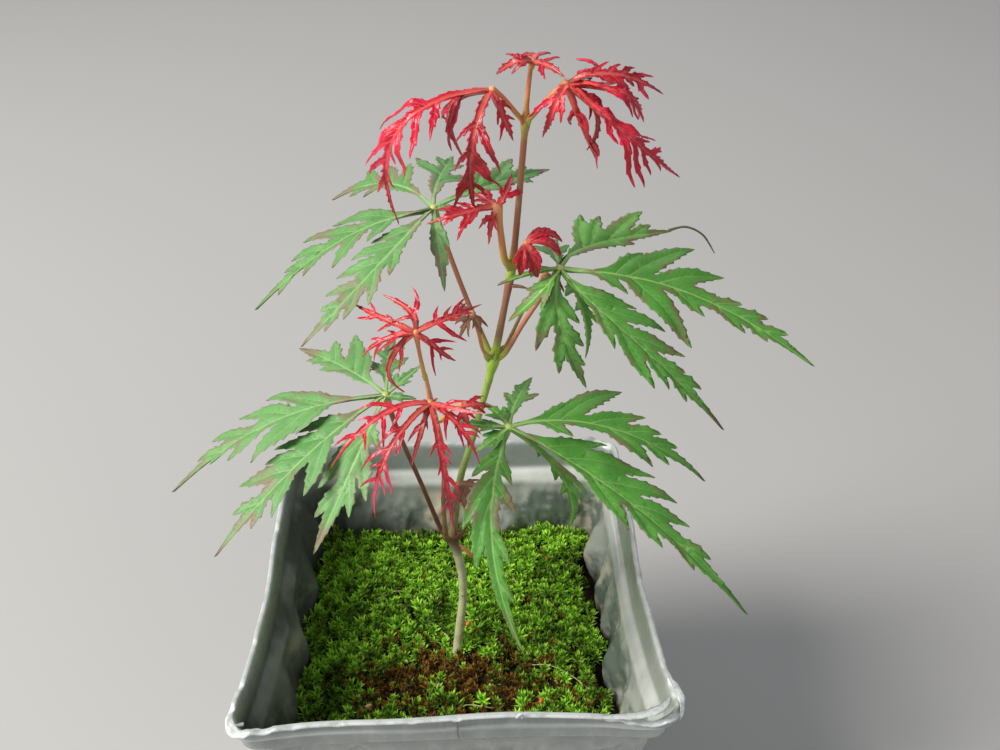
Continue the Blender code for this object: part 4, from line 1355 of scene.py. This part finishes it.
def shoot_pattern(leaflets, whorls, slim, rng):
    """One upright moss shoot, about 1 unit wide, of pointed leaflets in whorls."""
    points, faces, out = [], [], []
    for whorl, (height, size, rise) in enumerate(whorls):
        for k in range(leaflets):
            angle = 2 * math.pi * (k + 0.5 * whorl + rng.uniform(-0.2, 0.2)) / leaflets
            length = size * rng.uniform(0.8, 1.2)
            tilt = math.radians(rise + rng.uniform(-14, 14))
            c, s = math.cos(angle), math.sin(angle)
            forward = np.array((c * math.cos(tilt), s * math.cos(tilt), math.sin(tilt)))
            sideways = np.array((-s, c, 0.0))
            up = np.cross(forward, sideways)
            base = np.array((0, 0, height))
            wide = slim * length
            start = len(points)
            points.append(base)
            points.append(base + forward * length * 0.38 - sideways * wide - up * wide * 0.6)
            points.append(base + forward * length * 0.38 + sideways * wide - up * wide * 0.6)
            points.append(base + forward * length + np.array((0, 0, -0.1 * length)))
            out += [0.0, 0.45, 0.45, 1.0]
            faces += [(start, start + 1, start + 3), (start, start + 3, start + 2)]
    return np.array(points), np.array(faces), np.array(out)


def turn_matrix(angle):
    """A turn about the upright axis."""
    c, s = math.cos(angle), math.sin(angle)
    return np.array(((c, s, 0), (-s, c, 0), (0, 0, 1)))


def grow_shoots(name, places, patterns, surface):
    """Many shoots as one mesh. Each place is (x, y, z, size, lean, lean direction, turn, tone)."""
    points, faces, out, tone = [], [], [], []
    done = 0
    for index, (x, y, z, size, lean, toward, turn, shade) in enumerate(places):
        shape, sides, reach = patterns[index % len(patterns)]
        c, s = math.cos(lean), math.sin(lean)
        tip_over = np.array(((c, 0, -s), (0, 1, 0), (s, 0, c)))
        leaned = shape @ turn_matrix(turn) @ tip_over @ turn_matrix(toward)
        points.append(leaned * size + (x, y, z))
        faces.append(sides + done)
        out.append(reach)
        tone.append(np.full(len(shape), shade))
        done += len(shape)
    grid = np.concatenate(points) * MM + (0, 0, RIM_HEIGHT)
    mesh = mesh_from(name, grid, np.concatenate(faces),
                     {"out": np.concatenate(out), "tone": np.concatenate(tone)})
    mesh.materials.append(surface)
    return add_piece(name, mesh, smooth=False)


def moss_places(rng):
    """Where shoots stand: a loose even scatter, split into green and brown ones."""
    green, brown = [], []
    steps = int(MOSS_HALF / SHOOT_PITCH)
    for i in range(-steps, steps + 1):
        for j in range(-steps, steps + 1):
            x = (i + 0.5 * (j % 2) + rng.uniform(-0.45, 0.45)) * SHOOT_PITCH
            y = (j + rng.uniform(-0.45, 0.45)) * SHOOT_PITCH
            room = wall_line(x, y)
            if room < 0.7 or math.hypot(x, y + 4.6) < 1.4:
                continue
            old = rng.random() < 0.86 * brown_share(x, y)
            z = moss_level(x, y) + rng.uniform(-0.7, 0.5) - 1.4 * math.exp(-room / 1.5)
            x, y, _ = soft_shape(x, y, WALL_LEVEL)
            if old:
                size = rng.uniform(1.3, 2.2)
            else:
                size = rng.choice((1.2, 1.5, 1.8, 2.3)) * rng.uniform(0.85, 1.1)
            lean = math.radians(rng.uniform(0, 32))
            shoot = (x, y, z, size, lean, rng.uniform(0, 6.28), rng.uniform(0, 6.28), rng.random())
            (brown if old else green).append(shoot)
    return green, brown


def moss_material(name, deep, fresh, tip):
    """Moss leaflets: dark at the stalk, and fresh, bright and slightly glossy towards the points, where
    the brightness is partly a painted highlight on the shoot tips.
    """
    made, graph, shader = start_material(name)
    patch = graph.noise(75.0, 3.0)
    tone = graph.plus(graph.times(graph.value("tone"), 0.5), patch)
    base = graph.mix(graph.mask(tone, 0.55, 0.95), deep, fresh)
    # Towards the points the colour turns to the tip colour: partly fresh growth and partly a painted
    # highlight on the shoot tips
    reach = graph.mask(graph.value("out"), 0.05, 0.9)
    bright = graph.times(reach, graph.mask(tone, 0.45, 0.95, 0.2, 1.0))
    graph.set(shader, "Base Color", graph.mix(bright, base, tip))
    graph.set(shader, "Roughness", graph.mask(reach, 0.0, 1.0, 0.6, 0.42))
    shader.inputs["Specular IOR Level"].default_value = 0.2
    relief = graph.use(GRAIN, Size=3000.0, Coarse_Size=1200.0, Coarse_Share=0.5)["Height"]
    graph.set(shader, "Normal", graph.bump(relief, 0.2, 0.05 * MM))
    return made


def ground_material(name, base, patch, grain_size):
    """Dark crumbly ground with paler grains."""
    made, graph, shader = start_material(name)
    crumbs = graph.use(MOTTLE, Base=base, Patch=patch, Size=240.0, Fleck_Size=1800.0, Amount=0.8)
    graph.set(shader, "Base Color", crumbs["Colour"])
    graph.set(shader, "Roughness", graph.mask(crumbs["Mask"], 0.0, 0.8, 0.75, 0.95))
    shader.inputs["Specular IOR Level"].default_value = 0.15
    relief = graph.use(GRAIN, Size=grain_size, Coarse_Size=grain_size * 0.3, Coarse_Share=1.0)["Height"]
    graph.set(shader, "Normal", graph.bump(relief, 0.9, 0.6 * MM))
    return made


def make_moss_bed():
    """The dark mat between and under the shoots."""
    steps = 72
    row = steps + 1
    points, faces = [], []
    for j in range(row):
        for i in range(row):
            x, y = pull_inside((2 * i / steps - 1) * MOSS_HALF, (2 * j / steps - 1) * MOSS_HALF)
            lump = noise.noise(Vector((x, y, 1)) * 0.9) * 0.6
            edge = -2.0 * math.exp(-max(wall_line(x, y), 0) / 1.2)
            level = moss_level(x, y) + lump + edge
            x, y, _ = soft_shape(x, y, WALL_LEVEL)
            points.append((x * MM, y * MM, RIM_HEIGHT + level * MM))
    top_count = len(points)
    points += [(x * 0.985, y * 0.985, MOSS_LOW.z) for x, y, _ in points]
    for j in range(steps):
        for i in range(steps):
            a = j * row + i
            b = a + top_count
            faces.append((a, a + 1, a + row + 1, a + row))
            faces.append((b, b + row, b + row + 1, b + 1))
    rim = list(range(row)) + [k * row + steps for k in range(1, row)]
    rim += [steps * row + i for i in range(steps - 1, -1, -1)]
    rim += [k * row for k in range(steps - 1, 0, -1)]
    for a, b in zip(rim, rim[1:] + rim[:1]):
        faces.append((b, a, a + top_count, b + top_count))
    mesh = mesh_from("moss_mat", points, faces)
    surface = ground_material("moss_mat", (0.012, 0.014, 0.003), (0.040, 0.020, 0.008), 900.0)
    mesh.materials.append(surface)
    return add_piece("moss_mat", mesh, ["moss"])


def pull_inside(x, y):
    """Round the corners of a square place and keep it off the crumpled wall."""
    flat = MOSS_HALF - MOSS_CORNER
    cx, cy = abs(x) - flat, abs(y) - flat
    if cx > 0 and cy > 0:
        shrink = max(cx, cy) / math.hypot(cx, cy)
        x = math.copysign(flat + cx * shrink, x)
        y = math.copysign(flat + cy * shrink, y)
    wanted = 0.6 * max(abs(x), abs(y)) / MOSS_HALF
    inward = max(wanted - wall_line(x, y), 0.0)
    if abs(x) > abs(y):
        x -= math.copysign(inward, x)
    else:
        y -= math.copysign(inward, y)
    return x, y


# Whorls of a moss shoot from its foot up: height, leaflet length (in shoot widths), rise (degrees)
STAR_WHORLS = [(0.0, 0.8, 12), (0.4, 1.05, 30), (0.85, 1.0, 52), (1.1, 0.7, 74)]
TUFT_WHORLS = [(0.0, 0.7, 30), (0.6, 1.1, 60), (1.0, 0.9, 76)]


def make_moss():
    """The mat, then the green shoots and the old brown ones."""
    make_moss_bed()
    rng = random.Random(11)
    stars = [shoot_pattern(6, STAR_WHORLS, 0.14, rng) for _ in range(8)]
    tufts = [shoot_pattern(6, TUFT_WHORLS, 0.1, rng) for _ in range(5)]
    green, brown = moss_places(rng)
    fresh = moss_material("moss_green", (0.006, 0.045, 0.001), (0.08, 0.33, 0.003), (0.56, 0.95, 0.09))
    old = moss_material("moss_brown", (0.045, 0.015, 0.005), (0.15, 0.05, 0.010), (0.40, 0.23, 0.045))
    grow_shoots("moss_shoots_green", green, stars, fresh)
    grow_shoots("moss_shoots_brown", brown, tufts, old)


# ---------------------------------------------------------------------------
# Plant
# ---------------------------------------------------------------------------

def petiole_points(places, width):
    """Radii along a leaf stalk: swollen foot, thin middle, button at the hub."""
    radii = [width] * len(places)
    radii[1] = width * 1.15
    radii[0] = width * 1.3
    radii[-1] = width * 1.7
    return list(zip(places, radii))


TWISTS = (12, -18, 20, -10, 15, -22)  # degrees added to a young lobe's roll, in turn
FACING = 45  # degrees that a young lobe which heads sideways is rolled to face the front
# Half widths of leaf stalks, in mm
GREEN_STALK, YOUNG_STALK = 0.5, 0.36
STOUT = {"young_leaf_joint_left": 0.62, "young_leaf_top_left": 0.42, "young_leaf_top_right": 0.42}

# Colours along the main stem, by share of the height between the moss and the top
STEM_LOW, STEM_HIGH = RIM_HEIGHT - 28 * MM, RIM_HEIGHT + 118 * MM
STEM_COLOURS = [
    (0.0, (0.52, 0.53, 0.30)), (0.2, (0.58, 0.60, 0.34)), (0.235, (0.15, 0.085, 0.045)),
    (0.27, (0.34, 0.34, 0.15)), (0.4, (0.38, 0.55, 0.13)), (0.56, (0.42, 0.66, 0.08)),
    (0.60, (0.44, 0.68, 0.07)), (0.62, (0.40, 0.22, 0.10)), (0.70, (0.38, 0.12, 0.08)),
    (0.717, (0.38, 0.56, 0.06)), (0.733, (0.40, 0.58, 0.06)), (0.755, (0.40, 0.14, 0.08)),
    (0.90, (0.44, 0.16, 0.07)), (0.925, (0.46, 0.48, 0.07)), (0.938, (0.62, 0.30, 0.09)),
    (1.0, (0.74, 0.24, 0.13)),
]
# Colours along the other stalks, by share of their length
SHOOT_COLOURS = [
    (0.0, (0.20, 0.12, 0.05)), (0.5, (0.40, 0.34, 0.10)), (0.8, (0.62, 0.42, 0.16)),
    (0.86, (0.52, 0.56, 0.10)), (0.9, (0.78, 0.40, 0.24)), (1.0, (0.80, 0.40, 0.26)),
]
HUB_COLOURS = [(0.95, (0.50, 0.60, 0.14)), (1.0, (0.55, 0.74, 0.2))]
RED_COLOURS = [(0.0, (0.42, 0.64, 0.08)), (0.1, (0.50, 0.46, 0.09)), (0.22, (0.56, 0.20, 0.11)),
               (0.88, (0.58, 0.22, 0.12)), *HUB_COLOURS]
DARK_COLOURS = [(0.0, (0.15, 0.06, 0.04)), (0.88, (0.28, 0.10, 0.07)), *HUB_COLOURS]
PINK_COLOURS = [(0.0, (0.42, 0.50, 0.08)), (0.25, (0.66, 0.34, 0.10)), (0.7, (0.74, 0.26, 0.12)),
                (1.0, (0.82, 0.36, 0.16))]


def young_plans(hub, lobes, fullness):
    """Young lobes in full. They are given as midway point, tip, reach and pairs of side lobes."""
    plans = []
    for index, (middle, tip, reach, pairs) in enumerate(lobes):
        run, depth = tip[0] - hub[0], tip[1] - hub[1]
        sideways = run / max(math.hypot(run, depth), 0.1)
        roll = TWISTS[index % len(TWISTS)] - FACING * sideways
        width = 0.3 + fullness * reach
        plans.append(lobe(middle, tip, width, roll=roll, pairs=pairs + (reach > 1.5)))
    return plans


def make_stems():
    """The main stem and its two shoots."""
    bark = stalk_material("young_bark", STEM_COLOURS, (0.26, 0.21, 0.10), STEM_LOW, STEM_HIGH)
    add_stalk("main_stem_bark", STEM, bark, "bark", ["main_stem"], sides=18)
    shoot = stalk_material("shoot_bark", SHOOT_COLOURS, (0.5, 0.22, 0.12))
    add_stalk("side_shoot_bark", SIDE_SHOOT, shoot, "bark", ["side_shoot"])
    add_stalk("axil_shoot_bark", AXIL_SHOOT, shoot, "bark", ["axil_shoot"], sides=10)


def make_green_leaves():
    """The four grown leaves: paler on the left, as painted light and sheen, and with redder stalks
    higher up.
    """
    green = leaf_material("green_blade", (0.15, 0.42, 0.07), (0.07, 0.28, 0.03), (0.40, 0.60, 0.18),
                          (0.22, 0.11, 0.075), 1.6, 0.6, 0.85, 1.0)
    # The left leaves' paler, greyer blade is painted light and sheen, a lit copy of the green one
    pale = leaf_material("painted_sheen_blade", (0.17, 0.39, 0.12), (0.10, 0.30, 0.07), (0.42, 0.58, 0.25),
                         (0.28, 0.17, 0.13), 1.7, 0.65, 0.8, 1.15)
    red_stalk = stalk_material("red_petiole", RED_COLOURS, (0.64, 0.33, 0.18))
    dark_stalk = stalk_material("dark_petiole", DARK_COLOURS, (0.34, 0.15, 0.09))
    for number, (name, (petiole, lobes)) in enumerate(GREEN_LEAVES.items()):
        tissue = pale if "left" in name else green
        hub = from_rim(petiole[-1])
        blade = make_blade(f"{name}_blade", hub, lobes, GREEN_HABIT, tissue, 100 + number)
        add_piece(f"{name}_blade", blade, [name])
        surface = red_stalk if "upper" in name else dark_stalk
        add_stalk(f"{name}_petiole", petiole_points(petiole, GREEN_STALK), surface, "green_leaf",
                  sides=12, seed=number)


def young_manner(name):
    """How a young leaf is cut, and how broad its lobes are for their reach."""
    if name in THREAD_LEAVES:
        return THREAD_HABIT, 0.07
    if name in FOLDED_LEAVES:
        return FOLDED_HABIT, 0.34
    return YOUNG_HABIT, 0.14


def make_young_leaves():
    """The small red and brown leaves."""
    young = leaf_material("crimson_blade", (0.66, 0.008, 0.040), (0.34, 0.002, 0.016),
                          (0.80, 0.20, 0.13), (0.82, 0.08, 0.20), 0.35, 0.5, 0.6, 0.7)
    brown = leaf_material("brown_blade", (0.42, 0.16, 0.11), (0.27, 0.11, 0.06), (0.5, 0.3, 0.15),
                          (0.25, 0.05, 0.04), 0.4, 0.7, 0.6, 1.1)
    pink_stalk = stalk_material("pink_petiole", PINK_COLOURS, (0.70, 0.36, 0.14))
    for number, (name, (petiole, lobes)) in enumerate(YOUNG_LEAVES.items()):
        is_brown = name in BROWN_LEAVES
        slot_name = "brown_leaf" if is_brown else "young_leaf"
        habit, fullness = young_manner(name)
        plans = young_plans(petiole[-1], lobes, fullness)
        tissue = brown if is_brown else young
        hub = from_rim(petiole[-1])
        blade = make_blade(f"{name}_blade", hub, plans, habit, tissue, 200 + number)
        add_piece(f"{name}_blade", blade, [name])
        stalk = petiole_points(petiole, STOUT.get(name, YOUNG_STALK))
        add_stalk(f"{name}_petiole", stalk, pink_stalk, slot_name, sides=10, seed=40 + number)


# ---------------------------------------------------------------------------
# Small things
# ---------------------------------------------------------------------------

# Buds and scales at the joints: foot and point (mm), half width (mm), which colour
BUDS = [
    ((8.3, -0.6, 56.4), (7.2, -1.0, 59.0), 0.55, "green"),
    ((10.2, 0.4, 56.8), (11.4, 0.6, 59.4), 0.5, "green"),
    ((9.6, -1.0, 56.6), (9.9, -1.7, 58.8), 0.4, "green"),
    ((12.3, -0.5, 77.4), (11.6, -1.2, 79.6), 0.4, "green"),
    ((13.6, -0.5, 77.6), (14.3, -1.1, 79.8), 0.4, "red"),
    ((14.7, -0.4, 106.8), (14.2, -1.0, 108.8), 0.35, "red"),
    ((15.7, -0.4, 106.8), (16.2, -1.1, 108.6), 0.35, "green"),
    ((-1.1, -0.6, 7.0), (-2.4, -1.4, 8.2), 0.5, "brown"),
    ((0.6, -0.9, 6.8), (1.6, -1.9, 8.4), 0.5, "brown"),
    ((-0.2, -1.2, 6.4), (-0.5, -2.2, 7.6), 0.45, "brown"),
    ((-0.4, 1.0, 6.8), (-1.2, 2.0, 8.4), 0.45, "brown"),
    ((-3.4, -18.4, 59.2), (-4.5, -18.9, 60.6), 0.28, "red"),
    ((-2.6, -18.3, 59.4), (-1.6, -18.9, 60.8), 0.28, "red"),
    ((-3.5, -19.6, 65.6), (-4.4, -20.3, 66.9), 0.24, "red"),
    ((1.5, -1.9, -10.4), (2.2, -2.9, -9.4), 0.3, "brown"),
    ((12.6, -0.5, 74.0), (16.4, -0.9, 73.4), 0.4, "brown"),
    ((0.9, -0.4, -4.6), (0.2, -1.4, -3.6), 0.35, "brown"),
    ((1.4, -1.4, 6.0), (5.4, -3.0, 1.8), 0.45, "red"),
]


# A bud's section: share of its length, and of its half width
BUD_SHAPE = ((0, 0.6), (0.25, 1.0), (0.55, 0.85), (0.85, 0.4), (1, 0.12))


def make_buds():
    """Pointed buds and dry scales that sit on the joints."""
    colours = {"green": two_tone("green_bud"), "red": two_tone("red_bud"),
               "brown": two_tone("dry_scale")}
    for number, (foot, point, width, colour) in enumerate(BUDS):
        route = []
        for share, size in BUD_SHAPE:
            place = [a + (b - a) * share for a, b in zip(foot, point)]
            place[2] += 0.25 * math.sin(math.pi * share)
            route.append((tuple(place), width * size))
        add_stalk(f"bud_{number + 1}", route, colours[colour], "bark", sides=10, step=0.2, uneven=0.1,
                  seed=number)


# Dry stalks and fallen bits on the moss: points (x, y, height above the moss), thickness, mm
THREADS = [
    ([(-8, 5, 1.6), (-5, 2.5, 2.4), (-2.6, 0, 2.2), (-1, -2, 1.2)], 0.12),
    ([(17, -9, 1.4), (22, -11, 2.6), (27, -14, 2.6), (32, -18, 1.2)], 0.12),
    ([(-20, 12, 1.4), (-15, 14, 2.3), (-11, 13, 1.3)], 0.1),
    ([(12, 22, 1.3), (15, 17, 2.2), (16, 13, 1.4)], 0.1),
    ([(-3, -22, 1.2), (2, -20, 2.2), (8, -21, 1.2)], 0.11),
    ([(26, 6, 1.4), (23, 9, 2.4), (21, 13, 1.5)], 0.1),
]
# Seeds and specks: place (x, y), length and half width (mm), direction (degrees), pale or not
SEEDS = [
    ((-4.4, -16.7), 1.7, 0.36, 70, True), ((7.8, -15.6), 1.5, 0.34, 100, True),
    ((-20.6, -20.3), 1.8, 0.4, 20, True), ((14, -19), 1.3, 0.3, 150, True),
    ((2.9, 1.6), 1.4, 0.6, 40, False), ((6.6, 14.7), 1.6, 0.55, 10, False),
    ((19.5, -21), 1.6, 0.6, 60, False), ((-12, -8), 1.0, 0.3, 120, True),
    ((24, 24), 1.1, 0.35, 80, False), ((-26, 22), 1.2, 0.32, 30, True),
]


# A seed's section: share of its length from the middle, and of its half width
SEED_SHAPE = ((-0.5, 0.25), (-0.35, 0.7), (0, 1.0), (0.3, 0.8), (0.5, 0.2))
SEED_RISE = 2.4  # mm above the moss bed, among the tips of the shoots
# The dry end of the right-hand lobe: route (mm from the middle of the rim) and half width
TIP_CURL = [((46.2, 16.7, 76.3), 0.3), ((50, 18, 76.4), 0.24),
            ((54, 18.8, 74), 0.2), ((57, 19, 69.5), 0.1)]


def make_tip_curl():
    """The thin dry end of one green lobe, hanging down."""
    add_stalk("leaf_tip_curl", TIP_CURL, two_tone("dry_tip"), "green_leaf", sides=8, step=0.5,
              uneven=0.3, seed=3)


def make_litter():
    """Pale dry stalks, seeds and orange specks lying on the moss."""
    straw, husk, speck = (two_tone(name) for name in ("dry_straw", "seed_husk", "orange_speck"))
    for number, (places, width) in enumerate(THREADS):
        route = [((x, y, moss_level(x, y) + rise), width) for x, y, rise in places]
        add_stalk(f"dry_stalk_{number + 1}", route, straw, "moss", sides=8, step=0.5, uneven=0.2,
                  seed=number)
    for number, ((x, y), length, width, degrees, pale) in enumerate(SEEDS):
        c, s = math.cos(math.radians(degrees)), math.sin(math.radians(degrees))
        level = moss_level(x, y) + SEED_RISE
        route = [((x + c * length * share, y + s * length * share, level), width * size)
                 for share, size in SEED_SHAPE]
        add_stalk(f"seed_{number + 1}", route, husk if pale else speck, "moss", sides=10, step=0.15,
                  uneven=0.15, seed=number)


# ---------------------------------------------------------------------------
# Stage
# ---------------------------------------------------------------------------

FLOOR_RADIUS = 4  # metres
# Place (metres), size, power and colour
LIGHTS = {
    "key": ((-1.0, -0.35, 1.06), 0.6, 27.0, (1.0, 0.98, 0.94)),
    "fill": ((0.65, -0.75, 0.6), 0.8, 1.9, (0.95, 0.97, 1.0)),
    "back": ((0.1, 0.9, 0.8), 0.6, 1.6, (1.0, 1.0, 1.0)),
}
CAMERA_PLACE = (3.78, -184.7, 183.7)  # mm from the middle of the rim
CAMERA_TURN = (54.62, 0, -2.145)  # degrees


def make_floor():
    """A plain pale floor."""
    maker = bmesh.new()
    bmesh.ops.create_circle(maker, cap_ends=True, segments=96, radius=FLOOR_RADIUS)
    mesh = bpy.data.meshes.new("floor")
    maker.to_mesh(mesh)
    maker.free()
    surface, _, shader = start_material("pale_floor")
    shader.inputs["Base Color"].default_value = (0.50, 0.49, 0.475, 1)
    shader.inputs["Roughness"].default_value = 0.8
    mesh.materials.append(surface)
    floor = bpy.data.objects.new("floor", mesh)
    bpy.context.scene.collection.objects.link(floor)


def make_world():
    """Even, slightly cool light from all round."""
    world = bpy.data.worlds.new("soft_room")
    world.use_nodes = True
    background = world.node_tree.nodes["Background"]
    background.inputs["Color"].default_value = (0.82, 0.86, 0.92, 1)
    background.inputs["Strength"].default_value = 0.27
    bpy.context.scene.world = world


def make_camera():
    """The camera, above the front of the pot and looking down on it."""
    lens = bpy.data.cameras.new("camera")
    lens.sensor_width = 36
    lens.lens = 39.6
    lens.clip_start = 0.01
    camera = bpy.data.objects.new("camera", lens)
    camera.location = from_rim(CAMERA_PLACE)
    camera.rotation_euler = [math.radians(turn) for turn in CAMERA_TURN]
    bpy.context.scene.collection.objects.link(camera)
    bpy.context.scene.camera = camera
    bpy.context.scene.view_settings.view_transform = "Standard"


def make_stage():
    """Floor, soft light and camera."""
    make_floor()
    make_world()
    for name, (place, size, power, colour) in LIGHTS.items():
        add_light(name, place, size, power, colour)
    make_camera()


def add_light(name, place, size, power, colour):
    """A square soft light that looks at the plant."""
    light = bpy.data.lights.new(name, "AREA")
    light.size = size
    light.energy = power
    light.color = colour
    lamp = bpy.data.objects.new(name, light)
    lamp.location = place
    aim = Vector((0, 0, RIM_HEIGHT)) - Vector(place)
    lamp.rotation_euler = aim.to_track_quat("-Z", "Y").to_euler()
    bpy.context.scene.collection.objects.link(lamp)


def dress_soil():
    """The frame's own soil block, with a material of its own."""
    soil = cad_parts["soil"]
    surface = ground_material("potting_soil", (0.030, 0.018, 0.010), (0.12, 0.08, 0.05), 700.0)
    soil.data.materials.clear()
    soil.data.materials.append(surface)


make_stage()
make_pot()
dress_soil()
make_moss()
make_stems()
make_green_leaves()
make_young_leaves()
make_buds()
make_litter()
make_tip_curl()
